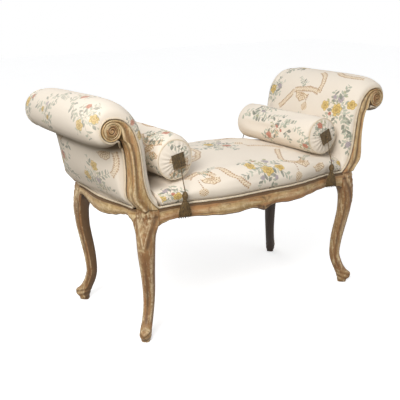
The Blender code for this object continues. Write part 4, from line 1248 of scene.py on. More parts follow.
def make_seat():
    """The seat's crowned stuffing in its cover."""
    rings = []
    foot_x = pad_face(STUFF_Z, 0.0)
    for k in range(SEAT_STATIONS):
        share = sin(pi / 2 * (2 * k / (SEAT_STATIONS - 1) - 1))
        side = front_face(share * foot_x) - SEAT_INSET
        foot = side - PIPE_R * 2 - CREASE
        height = seat_height(share)
        half = [(foot, 0.0), (foot, PIPE_R * 1.6), (side - PIPE_R / 2, PIPE_R * 2.6)]
        for i in range(SEAT_ROW):
            turn = pi / 2 * i / SEAT_ROW
            half.append((side * cos(turn) ** (2 / SEAT_POWER), SEAT_SHOULDER
                         + (height - SEAT_SHOULDER) * sin(turn) ** (2 / SEAT_POWER)))
        row = [(-y, z) for y, z in half] + [(0.0, height)] + [(y, z) for y, z in half[::-1]]
        row += [(foot * (1 - 2 * i / 12), 0.0) for i in range(1, 12)]
        ring = []
        for y, z in row:
            reach = pad_face(STUFF_Z + z, y) - CREASE
            ring.append(Vector((share * reach, y, STUFF_Z + z)))
        rings.append(ring)
    mesh = ring_mesh("seat_cover", rings, cloth=True)
    set_points(mesh, "fold", [seat_painted_shade(v.co) for v in mesh.vertices])
    piece = add_piece("seat_cover", mesh, "seat", "bench", ["seat_pad"])
    puff(piece, [seat_freedom(v.co) for v in mesh.vertices], SEAT_PUFF_CAP, SEAT_PUFF)


def seat_painted_shade(place):
    """Painted shade on the seat in the corner between a bolster and its arm."""
    near = bell(abs(place.x), SEAT_CORNER_X, SEAT_CORNER_WIDE)
    past = eased(abs(place.y), BOLSTER_HALF - 0.02, BOLSTER_HALF + 0.02)
    return SEAT_CORNER_SHADE * near * (1 - past)


def seat_freedom(place):
    """How freely the seat's cover moves: not at its edges and not under the bolsters."""
    rise = eased(place.z, STUFF_Z + 0.008, STUFF_Z + 0.034)
    inner = eased(FOOT_X - 0.055 - abs(place.x), 0.0, 0.05)
    beside = eased(abs(abs(place.x) - BOLSTER_X), 0.030, 0.085)
    lump = 0.86 + 0.14 * ripple(place, 0.07, 4)
    past = 1 - eased(BOLSTER_HALF + 0.02 - abs(place.y), 0.0, 0.03)
    return rise * inner * max(beside, past) * lump


PANEL_PAINTED_SHADE = 0.85            # painted shade where a panel runs up under the roll
PANEL_SHADE_DEPTH = 0.011
PANEL_STATIONS = 31
PANEL_ROW = 22              # points up a panel, above its piping
PANEL_ROW_FROM = 0.07       # share of its height where they begin


def make_outside_panel(side_name, side):
    rings = []
    tall = PANEL_TOP - STUFF_Z
    for k in range(PANEL_STATIONS):
        share = sin(pi / 2 * (2 * k / (PANEL_STATIONS - 1) - 1))
        along = share * PANEL_HALF
        foot = end_face(along) - SEAT_INSET - PIPE_R * 2 - CREASE
        outer = [(foot, STUFF_Z), (foot, PIPE_Z + PIPE_R)]
        for i in range(PANEL_ROW):
            row = PANEL_ROW_FROM + (1 - PANEL_ROW_FROM) * i / (PANEL_ROW - 1)
            z = STUFF_Z + row * tall
            full = read_smooth(PANEL_shares, row)
            power = PANEL_BACK_POWER if share > 0 else PANEL_FRONT_POWER
            bulge = PANEL_BULGE * full * swell(share, power)
            outer.append((edge_at(OUTER_LINE, z) + PANEL_EDGE + bulge, z))
        for rise, part in PANEL_TUCK:
            z = PANEL_TOP + rise
            outer.append((edge_at(OUTER_LINE, z) + PANEL_EDGE + bulge * part, z))
        inner = [(edge_at(OUTER_LINE, z) - PANEL_SUNK, z) for _, z in outer[::-3]]
        rings.append([Vector((side * x, along, z)) for x, z in outer + inner])
    name = "outside_panel_" + side_name
    mesh = ring_mesh(name + "_cover", rings, cloth=True, flip=side > 0)
    # painted shade on the panel's top, where it runs up under the roll
    painted_shades = [bell(min(v.co.z, PANEL_TOP), PANEL_TOP, PANEL_SHADE_DEPTH) for v in mesh.vertices]
    set_points(mesh, "fold", [PANEL_PAINTED_SHADE * fold for fold in painted_shades])
    piece = add_piece(name + "_cover", mesh, "panel", "bench", [name])
    shares = ring_shares(
        len(rings), len(rings[0]), lambda r: eased(r, 0.02, 0.22) * (1 - eased(r, 0.80, 0.98)),
        lambda i: eased(i, 0.06, 0.20) * (1 - eased(i, 0.52, 0.64)))
    puff(piece, shares, PANEL_PUFF_CAP, PANEL_PUFF)


# Bolsters, tassels and pipings

BOLSTER_R = 0.063
BOLSTER_X = 0.290
BOLSTER_HALF = 0.188
BOLSTER_DOME = 0.0175
RING_R = 0.0036
RING_MIDDLE = BOLSTER_R - RING_R * 0.75
RING_Y = BOLSTER_HALF + GAP * 2 + RING_R * 2
BRAID_SIDE = 0.044
BRAID_THICK = 0.0025
BRAID_TURN_shares = {-1: 11 / 90, 1: 22 / 90}
CORD_R = 0.0015
KNOT_R = 0.0036
HEAD_R = 0.0088
HEAD_HIGH = 0.031
SKIRT_HIGH = 0.050
SKIRT_WIDE = 0.0215     # half widths of the skirt at its foot, over its loose strands
SKIRT_THIN = 0.0093
SKIRT_CORE_WIDE = 0.0200
SKIRT_CORE_THIN = 0.0080
STRANDS = 64
STRAND_R = 0.00115
STRAND_ROWS = 9
STRAND_SIDES = 5
CORE_ROWS = 7
CORE_SIDES = 20
SKIRT_LEAST = 0.0052        # least half widths from front to back, near the top
SKIRT_CORE_LEAST = 0.0040
STRAND_WAVE = 0.0009
CORD_SAG = 0.0022
CORD_STEPS = 17
CORD_HIDDEN_STEPS = 5
HEAD_ROWS = 34
HEAD_SIDES = 40
BRAID_COUNT = 45            # points along each side
BRAID_PITCH = 0.0088
BOLSTER_ROWS = 37
BOLSTER_BUMP = 0.0011
BOLSTER_PLEAT = 0.0011
BOLSTER_PROUD = 0.0004      # most that a bump stands out
BOLSTER_FLAT = 0.0010       # where it lies on the seat
AROUND = 56
END_ROWS = 15
END_HOLE_R = 0.004          # of the gathers' middle, under the braid
END_PLEAT = 0.0017
END_LOW = 0.0007            # how much lower the dome is than the plain form's
END_AROUND = 152        # points round a bolster's end, enough for its gathers
BOLSTER_EXTRA = {-1: (0.008, 0.0115), 1: (0.013, 0.002)}    # wider towards the seat, and taller
RIM_R = RING_MIDDLE + 0.0010
ROUND_FRONT_share = 0.80
ROUND_BACK_share = 0.90
WELT_R = 0.0021
WELT_POINTS = 72
WELT_WAVE = 0.0004
BOLSTER_END_U, BOLSTER_END_V = 0.40, 0.20       # where the ends are cut from the cloth


def middle_of(node):
    low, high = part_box(node)
    return (low + high) / 2


def make_bolster(side_name, side):
    """A round bolster, a little uneven, whose ends are gathered into a low dome."""
    body = "bolster_" + side_name
    centre = middle_of(body)
    rows = []
    wide, high = BOLSTER_EXTRA[side]
    for i in range(BOLSTER_ROWS):
        along = sin(pi / 2 * (2 * i / (BOLSTER_ROWS - 1) - 1))
        y = along * (BOLSTER_HALF + RING_R / 2)
        begin = ROUND_BACK_share if along > 0 else ROUND_FRONT_share
        near = max(0.0, (abs(along) - begin) / (1 - begin))
        shoulder = sqrt(max(0.0, 1 - near ** 2.4))
        row = []
        for turn, c, s in circle(AROUND):
            bump = BOLSTER_BUMP * ripple((c, y * 9, s), 0.9, side + 3)
            pleat = BOLSTER_PLEAT * near * (1 - near) * 4 * cos(turn * 17 + 2 * sin(turn * 3))
            flat = eased(-s, 0.55, 1.0) * BOLSTER_FLAT
            reach = BOLSTER_R - BOLSTER_PROUD + min(bump, BOLSTER_PROUD) - flat - abs(pleat)
            x = c * (reach + wide / 2) - side * wide / 2
            z = s * (reach + high / 2) + high / 2
            x = c * RIM_R + (x - c * RIM_R) * shoulder
            z = s * RIM_R + (z - s * RIM_R) * shoulder
            row.append(Vector((x, y, z)) + centre)
        rows.append(row)
    mesh = ring_mesh("bolster_roll_" + side_name, rows, cloth=True)
    piece = add_piece("bolster_roll_" + side_name, mesh, body, body, [body])
    shares = ring_shares(
        len(rows), AROUND, lambda r: eased(r, 0.14, 0.30) * (1 - eased(r, 0.70, 0.86)),
        lambda i: eased(sin(tau * i), -0.75, -0.10))
    puff(piece, shares, BOLSTER_PUFF_CAP, BOLSTER_PUFF)
    for end_name, end in ENDS.items():
        make_bolster_end(f"{end_name}_{side_name}", centre, body, side, end)


def make_bolster_end(tag, centre, body, side, end):
    """The round end of a bolster: a panel gathered towards the braid square."""
    rows = []
    for i in range(END_ROWS):
        share = i / (END_ROWS - 1)
        reach = (RING_MIDDLE + 0.0005) * (1 - share) + END_HOLE_R * share
        lift = sin(pi / 2 * min(1.0, share * 1.12)) ** 0.8 * (BOLSTER_DOME - RING_R - END_LOW)
        row = []
        for turn, c, s in circle(END_AROUND):
            pleat = cos(turn * 19 + 1.5 * sin(turn * 2 + side))
            deep = END_PLEAT * sin(pi * min(1.0, share * 1.15)) * (0.5 + 0.5 * pleat)
            y = end * (RING_Y - RING_R + lift - deep)
            row.append(Vector((c * reach, y, s * reach)) + centre)
        rows.append(row)
    mesh = ring_mesh("bolster_end_" + tag, rows, flip=end < 0)
    layer = mesh.uv_layers.new(name="cloth")
    for loop in mesh.loops:
        co = mesh.vertices[loop.vertex_index].co - centre
        layer.data[loop.index].uv = (BOLSTER_END_U + co.x, BOLSTER_END_V + co.z)
    piece = add_piece("bolster_end_" + tag, mesh, body, body, [])
    ring = []
    for turn, c, s in circle(WELT_POINTS):
        reach = RING_MIDDLE + WELT_WAVE * sin(turn * 5 + side)
        ring.append(Vector((c * reach, end * (RING_Y - RING_R), s * reach)) + centre)
    mesh = tube_mesh("bolster_welt_" + tag, ring, WELT_R, 10, Vector((0, 1, 0)), closed=True)
    add_piece("bolster_welt_" + tag, mesh, WELT, body, ["bolster_piping_" + tag])


def make_braid(tag, side, end):
    """A square of coarse woven braid with cords along its edges."""
    node = "braid_square_" + tag
    centre = middle_of(node)
    count = BRAID_COUNT
    turn = end * pi / 2 * BRAID_TURN_shares[side]
    c, s = cos(turn), sin(turn)
    places = [(2 * i / (count - 1) - 1) * BRAID_SIDE / 2 for i in range(count)]
    verts, faces = [], []
    for u in places:
        for v in places:
            over = sin(u * tau / BRAID_PITCH) * sin(v * tau / BRAID_PITCH)
            rim = eased(max(abs(u), abs(v)), BRAID_SIDE * 0.42, BRAID_SIDE * 0.46)
            deep = 0.0007 * over * (1 - rim) + 0.0004 * rim
            droop = 0.0009 * (abs(u) + abs(v)) / BRAID_SIDE
            height = BRAID_THICK / 2 - 0.0006 + deep - droop
            verts.append((c * u + s * v, end * height, -s * u + c * v))
    size = count * count
    verts += [(x, end * -BRAID_THICK / 2, z) for x, _, z in verts]
    for i in range(count - 1):
        for k in range(count - 1):
            a = i * count + k
            face = (a, a + 1, a + count + 1, a + count)
            faces += [face, tuple(size + j for j in face[::-1])]
    edge = list(range(count)) + [i * count + count - 1 for i in range(1, count)]
    edge += [(count - 1) * count + k for k in range(count - 2, -1, -1)]
    edge += [i * count for i in range(count - 2, 0, -1)]
    faces += [(b, a, size + a, size + b) for a, b in zip(edge, edge[1:] + edge[:1])]
    if end < 0:
        faces = [face[::-1] for face in faces]
    mesh = bpy.data.meshes.new("braid_" + tag)
    mesh.from_pydata([Vector(v) + centre for v in verts], [], faces)
    add_piece("braid_" + tag, mesh, BRAID, "bolster_" + tag.split("_")[1], [node])


def make_tassel(tag):
    """A knot, its cord, a thread-wound head and a skirt of loose strands."""
    body = "tassel_" + tag
    knot_at = middle_of("tassel_knot_" + tag)
    low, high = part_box("tassel_head_" + tag)
    head_at = Vector(((low.x + high.x) / 2, (low.y + high.y) / 2, high.z))
    way = (head_at - knot_at).normalized()

    line = [way * (KNOT_R * cos(pi * i / 8)) + knot_at for i in range(9)]
    sizes = [KNOT_R * max(0.12, sin(pi * i / 8)) for i in range(9)]
    mesh = tube_mesh("knot_" + tag, line, sizes, 14,
                     shape=lambda i, turn: 1 + 0.10 * cos(turn * 4 + i * 1.6))
    add_piece("knot_" + tag, mesh, THREAD, body, ["tassel_knot_" + tag])

    start = knot_at + way * (KNOT_R + 0.0002)
    stop = head_at + Vector((0, 0, GAP))
    curve = bpy.data.curves.new("cord_" + tag, "CURVE")
    curve.dimensions = "3D"
    curve.bevel_depth = CORD_R
    curve.bevel_resolution = 4
    curve.use_fill_caps = True
    shares = [i / CORD_STEPS for i in range(CORD_STEPS + 1)]
    route = [start.lerp(stop, share) - Vector((0, 0, CORD_SAG * sin(pi * share)))
             for share in shares]
    route += [stop - Vector((0, 0, HEAD_HIGH * i / CORD_HIDDEN_STEPS))
              for i in range(1, CORD_HIDDEN_STEPS + 1)]
    path = curve.splines.new("POLY")
    path.points.add(len(route) - 1)
    for knot, point in zip(path.points, route):
        knot.co = (*point, 1.0)
    curve.materials.append(THREAD)
    cord = link(bpy.data.objects.new("cord_" + tag, curve))
    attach(cord, body)
    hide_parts("tassel_cord_" + tag)

    head = make_tassel_head(tag, head_at, body)
    skirt = make_tassel_skirt(tag, head_at, body)
    reach_along(route)[-1]


HEAD_shares = [(0.0, 0.16), (0.04, 0.30), (0.12, 0.62), (0.24, 0.84), (0.42, 1.0),
               (0.60, 0.94), (0.74, 0.74), (0.82, 0.58), (0.86, 0.70), (0.91, 0.74),
               (0.95, 0.62), (1.0, 0.70)]


def make_tassel_head(tag, top, body):
    rings = []
    for i in range(HEAD_ROWS):
        share = i / (HEAD_ROWS - 1)
        radius = HEAD_R * read_table(HEAD_shares, share) * (1 + 0.03 * sin(share * 90))
        ring = []
        for turn, c, s in circle(HEAD_SIDES):
            reach = radius * (1 + 0.05 * cos(turn * 10 + share * 3))
            ring.append(top + Vector((c * reach, s * reach, -share * HEAD_HIGH)))
        rings.append(ring)
    mesh = ring_mesh("head_" + tag, rings, flip=True)
    return add_piece("head_" + tag, mesh, THREAD, body, ["tassel_head_" + tag])


def make_tassel_skirt(tag, top, body):
    """A flattened skirt: an inner body of threads and loose twisted strands round it."""
    verts, faces = [], []
    seed = len(tag) * 0.7 + (1.3 if "left" in tag else 0.2)
    foot = top - Vector((0, 0, HEAD_HIGH + GAP))
    for n, (_, c, s) in enumerate(circle(STRANDS)):
        layer = 1.0 - 0.16 * (n % 2)
        full = 1.0 + 0.07 * sin(n * 12.9898 + seed)
        drop = SKIRT_HIGH * (0.90 + 0.10 * sin(n * 7.7 + seed * 3))
        faces += ring_faces(STRAND_ROWS, STRAND_SIDES, True, len(verts))
        for i in range(STRAND_ROWS):
            down = i / (STRAND_ROWS - 1)
            spread = (0.30 + 0.70 * down ** 0.55) * layer * full
            wave = STRAND_WAVE * sin(down * 7 + n * 2.1 + seed) * down
            x = SKIRT_WIDE * spread * c + wave
            y = max(SKIRT_THIN * spread, SKIRT_LEAST * layer) * s + wave * 0.4
            tip = STRAND_R * (1.0 if down < 0.9 else 0.75)
            for k in range(STRAND_SIDES):
                bend = tau * k / STRAND_SIDES + down * 6
                verts.append(foot + Vector((x + cos(bend) * tip, y + sin(bend) * tip, -drop * down)))
    faces += ring_faces(CORE_ROWS, CORE_SIDES, True, len(verts))
    for i in range(CORE_ROWS):
        down = i / (CORE_ROWS - 1)
        reach = 0.20 + 0.66 * down ** 0.75
        for _, c, s in circle(CORE_SIDES):
            y = max(SKIRT_CORE_THIN * reach, SKIRT_CORE_LEAST) * s
            verts.append(foot + Vector((SKIRT_CORE_WIDE * reach * c, y,
                                        -SKIRT_HIGH * 0.93 * down)))
    mesh = bpy.data.meshes.new("skirt_" + tag)
    mesh.from_pydata(verts, [], faces)
    return add_piece("skirt_" + tag, mesh, THREAD, body, ["tassel_skirt_" + tag])


WELT_END_DEG = -120
# From under the scroll down the post's outer edge: distances outwards and below the scroll
NOTCH_LINE = [(-0.0270, -0.0350), (-0.0360, -0.0395), (-0.0440, -0.0470), (-0.0500, -0.0600)]


def arm_welt_line():
    """A welt's line in the arm's plane: up the post's inner edge and round the scroll."""
    turn = SCROLL_START_DEG - WELT_END_DEG
    arc = [scroll_point(SCROLL_START_DEG - i * turn / 30, SCROLL_R) for i in range(31)]
    line = evenly(shifted(INNER_LINE + arc[1:], PIPE_R + GAP * 2), 90)
    line[0].y = PIPE_Z
    return line


def notch_line(start, depth):
    """From the end of that line down the post's outer edge, inwards to the panel's welt."""
    spots = [Vector((SCROLL_X + x, SCROLL_Z + z)) for x, z in NOTCH_LINE]
    fine = spline([start, *spots], 6)[1:]
    sink = PAD_HALF - POST_BACK + GAP * 2 + PIPE_R * 2
    made = []
    for i, spot in enumerate(fine):
        made.append(Vector((spot.x, depth - sink * eased(i / (len(fine) - 1), 0.0, 0.9), spot.y)))
    return made


def make_cover_welt(end_name, end):
    """Piping from one scroll down its post, along the rail and up the other post."""
    depth = end * (PAD_HALF + GAP + PIPE_R)
    arm = arm_welt_line()
    right = [Vector((p.x, depth, p.y)) for p in arm]
    right += [Vector((p.x, end * p.y, p.z)) for p in notch_line(arm[-1], abs(depth))]
    reach = right[0].x - PIPE_R * 2
    rail = []
    for i in range(-32, 33):
        along = reach * i / 32
        face = max(front_face(along) - SEAT_INSET - PIPE_R, abs(depth))
        rail.append(Vector((along, end * face, PIPE_Z)))
    left = [Vector((-p.x, p.y, p.z)) for p in right]
    line = evenly([*left[::-1], *rail, *right], 460)
    size = []
    for i, point in enumerate(line):
        thin = 1 - 0.28 * eased(point.z, SCROLL_Z - SCROLL_R, SCROLL_Z)
        size.append(PIPE_R * (0.93 + 0.03 * sin(i * 0.9) + 0.03 * sin(i * 0.37)) * thin)
    mesh = tube_mesh(end_name + "_welt", line, size, 10, Vector((0, 1, 0)))
    add_piece(end_name + "_welt", mesh, WELT, "bench", [end_name + "_piping"])


def make_panel_welt(side_name, side):
    """Piping round an outside panel: down one post, along the end rail, up the other."""
    depth = POST_BACK - GAP - PIPE_R
    low = PIPE_Z + PIPE_R * 2
    arm = []
    for i in range(30):
        z = low + (PANEL_TOP - low) * i / 29
        arm.append(Vector((edge_at(OUTER_LINE, z) + PANEL_EDGE, depth, z)))
    rail = []
    for i in range(-20, 21):
        along = (depth - PIPE_R * 2) * i / 20
        rail.append(Vector((end_face(along) - SEAT_INSET - PIPE_R, along, PIPE_Z)))
    line = [*[Vector((p.x, -p.y, p.z)) for p in arm[::-1]], *rail, *arm]
    line = evenly([Vector((side * p.x, p.y, p.z)) for p in line], 200)
    size = [PIPE_R * (0.93 + 0.04 * sin(i * 0.7)) for i in range(200)]
    mesh = tube_mesh("panel_welt_" + side_name, line, size, 10, Vector((side, 0, 0)))
    add_piece("panel_welt_" + side_name, mesh, WELT, "bench", ["panel_piping_" + side_name])


# Arm posts

# Relief across a post's front, from its inner edge: share of its width, height, groove
RIBBON_RELIEF = [
    (0.0, -0.0030, 0.65), (0.035, -0.0014, 0.43), (0.08, 0.0, 0.11), (0.16, 0.0006, -0.25),
    (0.27, 0.0008, -0.2), (0.38, 0.0003, 0.06), (0.47, -0.0010, 0.32), (0.55, -0.0026, 0.5),
    (0.63, -0.0034, 0.54), (0.70, -0.0026, 0.43), (0.77, -0.0008, 0.11), (0.83, 0.0004, -0.45),
    (0.90, 0.0007, -0.6), (0.95, 0.0003, -0.45), (1.0, -0.0010, 0.11)]
# And across its outer side, from the front: share of its depth, distance inwards, groove
SIDE_RELIEF = [(0.05, 0.0002, 0.08), (0.12, 0.0012, 0.25), (0.20, 0.0026, 0.42), (0.28, 0.0028, 0.46),
               (0.36, 0.0018, 0.30), (0.43, 0.0006, 0.05), (0.54, 0.0, -0.15), (0.70, 0.0, -0.05),
               (0.84, 0.0002, 0.10), (0.93, 0.0005, 0.2), (1.0, 0.0010, 0.35)]
# Inner edge of the band that winds into the scroll: angle in degrees, share of the scroll
SCROLL_BAND_shares = [(-501, 0.40), (-430, 0.44), (-360, 0.48), (-270, 0.54), (-180, 0.605),
                      (-141, 0.63), (-90, 0.655), (0, 0.68), (60, 0.695), (90, 0.72),
                      (120, 0.77), (150, 0.86), (180, 0.985), (200, 1.14), (219, 1.516)]
BAND_END_DEG = -500
NECK_DEG = 219
WOUND_SINK = 0.0042         # how deep the band's inner end runs out
WOUND_RISE = 0.0006
WOUND_FROM = 110            # stations before the inner end, from where the band is wound
WOUND_FULL = 30             # and from where it is fully so, and runs out
LOW_STATIONS = 46
SCROLL_STATIONS = 116
FULL_RELIEF_WIDE = 0.030    # narrower than this, a post has less relief
WOOD_WORN = 0.0003          # unevenness of worn wood


def band_inner(angle):
    return SCROLL_R * read_smooth(SCROLL_BAND_shares, angle)


def band_outer(angle):
    if angle > -141:
        return SCROLL_R
    return min(SCROLL_R, band_inner(angle + 360))


def ribbon_stations():
    """Pairs of points on the ribbon's inner and outer edge, foot to scroll, and its depth."""
    outer_low = evenly(OUTER_LINE, LOW_STATIONS)
    neck = []
    for a, b in zip(INNER_LINE, INNER_LINE[1:]):
        middle = Vector((SCROLL_X, SCROLL_Z))
        away = b - middle
        angle = degrees(atan2(away.y, away.x)) % 360
        if angle <= NECK_DEG and b.y > SCROLL_Z - SCROLL_R * 1.6:
            neck.append((b, angle))
    first = next(i for i, point in enumerate(INNER_LINE) if point == neck[0][0])
    inner_low = evenly(INNER_LINE[:first + 1], LOW_STATIONS)
    pairs = [(a, b, POST_DEPTH) for a, b in zip(inner_low, outer_low)]
    for point, angle in neck[1:]:
        pairs.append((point, scroll_point(angle, band_inner(angle)), POST_DEPTH))
    for i in range(1, SCROLL_STATIONS + 1):
        angle = SCROLL_START_DEG + (BAND_END_DEG - SCROLL_START_DEG) * i / SCROLL_STATIONS
        depth = POST_DEPTH if angle > -150 else POST_DEPTH * 0.5
        pairs.append((scroll_point(angle, band_outer(angle)),
                      scroll_point(angle, band_inner(angle)), depth))
    return pairs


POST_STATIONS = ribbon_stations()


def make_post(tag, side, end):
    """A post as a moulded ribbon that winds into its scroll round a rosette."""
    rings, groove, bare = [], [], []
    total = len(POST_STATIONS)
    for n, (inner, outer, depth) in enumerate(POST_STATIONS):
        across = outer - inner
        wide = across.length
        rise = min(1.0, wide / FULL_RELIEF_WIDE)
        wound = eased(n, total - WOUND_FROM, total - WOUND_FULL)
        run_out = eased(n, total - WOUND_FULL, total)
        ring = []
        for share, height, deep in RIBBON_RELIEF:
            spot = inner + across * share
            lift = height * (0.55 + 0.45 * rise) + WOUND_RISE * wound - WOUND_SINK * run_out
            lift += WOOD_WORN * ripple((spot.x, spot.y, side + end), 0.012, 5)
            ring.append((spot, POST_FACE + lift))
            groove.append(min(1.0, deep * (0.90 + 0.30 * wound) if deep > 0 else deep))
            bare.append(0.75 * bell(share, 0.56, 0.15) * (1 - wound))
        for part, inward, deep in SIDE_RELIEF:
            spot = outer - across.normalized() * min(inward, wide * 0.1)
            ring.append((spot, POST_FACE - 0.001 - (depth - 0.001) * part))
            groove.append(deep)
        for part in (1.0, 0.5, 0.16):
            ring.append((inner, POST_FACE - depth * part))
            groove.append(0.6)
        bare += [0.0] * (len(groove) - len(bare))
        rings.append([Vector((side * spot.x, end * y, spot.y)) for spot, y in ring])
    add_wood("post_" + tag, rings, side * end > 0, PAINTED, groove, bare, ["arm_post_" + tag])
    make_rosette(tag, side, end)


ROSETTE_share = 0.72        # of the scroll's radius
SPIRAL_PITCH_share = 0.30
ROSETTE_BARE = 0.45
ROSETTE_ROWS = 49
ROSETTE_AROUND = 72


def rosette_relief(share, turn):
    """Height and groove of a rosette: a knob, a carved spiral, a rim and a sunk dotted ring."""
    knob = bell(share, 0.0, 0.11)
    wave = 0.5 + 0.5 * cos(tau * (share / SPIRAL_PITCH_share - turn / tau))
    coil = eased(share, 0.10, 0.18) * (1 - eased(share, 0.60, 0.66))
    rim = bell(share, 0.70, 0.045)
    sunk = eased(share, 0.76, 0.88)
    height = 0.0030 * knob + 0.0026 * wave * coil + 0.0020 * rim - 0.0040 * sunk
    beads = (0.5 + 0.5 * cos(turn * 22)) * bell(share, 0.71, 0.05)
    return height, min(1.0, (1 - wave) * coil + sunk + 0.8 * beads)


def make_rosette(tag, side, end):
    """The boss in the middle of a scroll."""
    rings, groove = [], []
    for i in range(ROSETTE_ROWS):
        share = 1.0 - i / (ROSETTE_ROWS - 1)
        row = []
        for turn, _, _ in circle(ROSETTE_AROUND):
            height, deep = rosette_relief(share, turn)
            spot = scroll_point(degrees(turn), max(SCROLL_R * ROSETTE_share * share, 0.0002))
            row.append(Vector((side * spot.x, end * (POST_FACE - 0.0006 + height), spot.y)))
            groove.append(deep)
        rings.append(row)
    rings.insert(0, [Vector((p.x, end * POST_BACK, p.z)) for p in rings[0]])
    bare = [0.0] * ROSETTE_AROUND + [ROSETTE_BARE] * len(groove)
    groove = [0.9] * ROSETTE_AROUND + groove
    add_wood("rosette_" + tag, rings, side * end < 0, ROSETTE, groove, bare)


# Legs

# Cabriole leg, floor to head, slimmer under its head than the plain form: share of its
# height, inner edge, outer edge and half-width as shares of the knee, and how square it is
LEG_shares = [
    (0.000, -0.32, 0.25, 0.25, 2.8), (0.020, -0.35, 0.31, 0.28, 2.6),
    (0.034, -0.37, 0.44, 0.32, 2.4), (0.050, -0.41, 0.54, 0.34, 2.3),
    (0.069, -0.46, 0.56, 0.34, 2.2), (0.086, -0.52, 0.50, 0.34, 2.1),
    (0.105, -0.58, 0.29, 0.336, 1.9), (0.145, -0.74, 0.06, 0.336, 1.8),
    (0.205, -0.91, -0.15, 0.336, 1.8), (0.265, -0.98, -0.25, 0.345, 1.8),
    (0.374, -0.94, -0.14, 0.386, 1.7), (0.467, -0.84, 0.02, 0.42, 1.7),
    (0.560, -0.70, 0.19, 0.47, 1.65), (0.655, -0.58, 0.35, 0.53, 1.6),
    (0.774, -0.57, 0.44, 0.59, 1.5), (0.825, -0.65, 0.44, 0.635, 1.45),
    (0.880, -0.83, 0.42, 0.765, 1.25), (0.925, -0.98, 0.37, 0.84, 1.05),
    (1.000, -1.06, 0.28, 0.77, 1.0)]
LEG_FULLER = 0.0008
LEG_LEAN = {"front_left": (0.0042, -0.0030, 0.0), "front_right": (-0.0020, 0.0012, 0.0),
            "back_right": (-0.0020, 0.0014, 0.0)}
# Painted shade on each leg's inner faces, over their dark bare wood: most where least light falls
LEG_INSIDE_SHADE = {"front_left": 0.15, "front_right": 0.05, "back_left": 0.78, "back_right": 1.8}
LEG_ROWS = 150
LEG_ROUND = 96
LEG_TOES = 0.11             # share of the height below which the rows lie a little closer
KNEE_LOW, KNEE_HIGH = 0.715, 0.955      # the carved leaf on the knee, as shares of the height
COLLAR, UNDER_COLLAR = 0.966, 0.948     # the row of leaves above it, and the line below that


def leg_row(height):
    """The leg's table at a share of its height, on smooth curves through its rows."""
    return [read_smooth([(row[0], row[j]) for row in LEG_shares], height) for j in range(1, 5)]


def leg_relief(height, turn, inside):
    """Carving of a leg at a height share and an angle from its outer arris: lift, groove.

    Angle 0 is the arris on the diagonal, and a quarter turn its side towards the long rail.
    Inside is painted shade over the dark bare wood of its inner faces, more on legs that get less
    light.
    """
    side = abs(turn)
    to_rail = eased(turn, -0.1, 0.1)
    lift, deep = 0.0, 0.0
    foot = eased(height, 0.10, 0.16)
    upper = (1 - eased(height, 0.60, 0.74)) * foot
    arris = bell(side, 0.0, 0.34)
    beads = bell(side, 0.80, 0.22)
    lift += (-0.0012 * arris + 0.0006 * beads) * upper
    deep += (0.60 * arris - 0.50 * beads) * upper
    under_head = 1 - eased(height, 0.84, 0.91)
    channel = bell(side, 1.36, 0.24) * foot * under_head
    lift -= 0.0009 * channel
    deep += 0.50 * channel
    corner = bell(side, pi / 2, 0.13) * foot
    lift -= 0.0007 * corner
    deep += 0.15 * corner
    # painted shade on the inner faces: each leg's own amount, and a painted shadow under the rails
    # near the top
    shade_faces = eased(side, 1.75, 2.0)
    deep += shade_faces * (inside + 0.9 * eased(height, 0.82, 0.92))
    if KNEE_LOW - 0.03 < height < KNEE_HIGH + 0.03:
        share = max(0.0, (height - KNEE_LOW) / (KNEE_HIGH - KNEE_LOW))
        half = 0.05 + 0.76 * share ** 0.9
        shown = eased(height, KNEE_LOW - 0.02, KNEE_LOW + 0.03)
        shown *= 1 - eased(height, KNEE_HIGH, KNEE_HIGH + 0.02)
        border = bell(side, half, 0.11)
        lift += 0.0015 * border * shown
        deep -= 0.65 * border * shown
        outside = bell(side - half, 0.26, 0.13 + 0.12 * to_rail)
        deep += (0.30 + 0.45 * to_rail) * outside * shown * (1 - 0.3 * share)
        lift -= 0.0012 * outside * shown
        if side < half:
            lobes = cos(side * 17 + share * 2.5) * cos(height * 120 - side * 7)
            field = eased(half - side, 0.0, 0.12) * shown
            lift += (0.0013 * lobes + 0.0004) * field
            deep += (-0.05 - 0.42 * lobes) * field
    collar = bell(height, COLLAR, 0.014)
    leaves = abs(sin(turn * 15 + 20 * (height - COLLAR)))
    lift += 0.0014 * collar * leaves ** 0.6
    deep += collar * (0.6 - 1.0 * leaves)
    under = bell(height, UNDER_COLLAR, 0.007)
    deep += 0.35 * under
    lift -= 0.0005 * under
    toe = 1 - eased(height, 0.085, 0.12)
    curl = cos(height * 150 - side * 3.1 + 1.2)
    lift += 0.0006 * curl * toe
    deep += (0.15 - 0.40 * curl) * toe
    return lift, max(-1.0, min(1.9, deep))


def leg_bare(height, turn, seed):
    """Where a leg's paint is rubbed down to the bole: a broad band beside its arris."""
    band = bell(turn, 0.66, 0.52) * eased(height, 0.36, 0.56)
    band *= 1 - eased(height, 0.84, 0.95)
    line = bell(turn, 0.04, 0.42) * eased(height, 0.02, 0.26)
    line *= 1 - eased(height, 0.62, 0.72)
    corner = bell(abs(turn), pi / 2, 0.26) * eased(height, 0.05, 0.15)
    line = max(line, corner)
    patch = 0.5 + 0.5 * ripple((height * 2.4, turn * 0.3, seed), 0.24, 3)
    return min(1.0, max(0.8 * band, line) * (0.70 + 0.55 * patch))


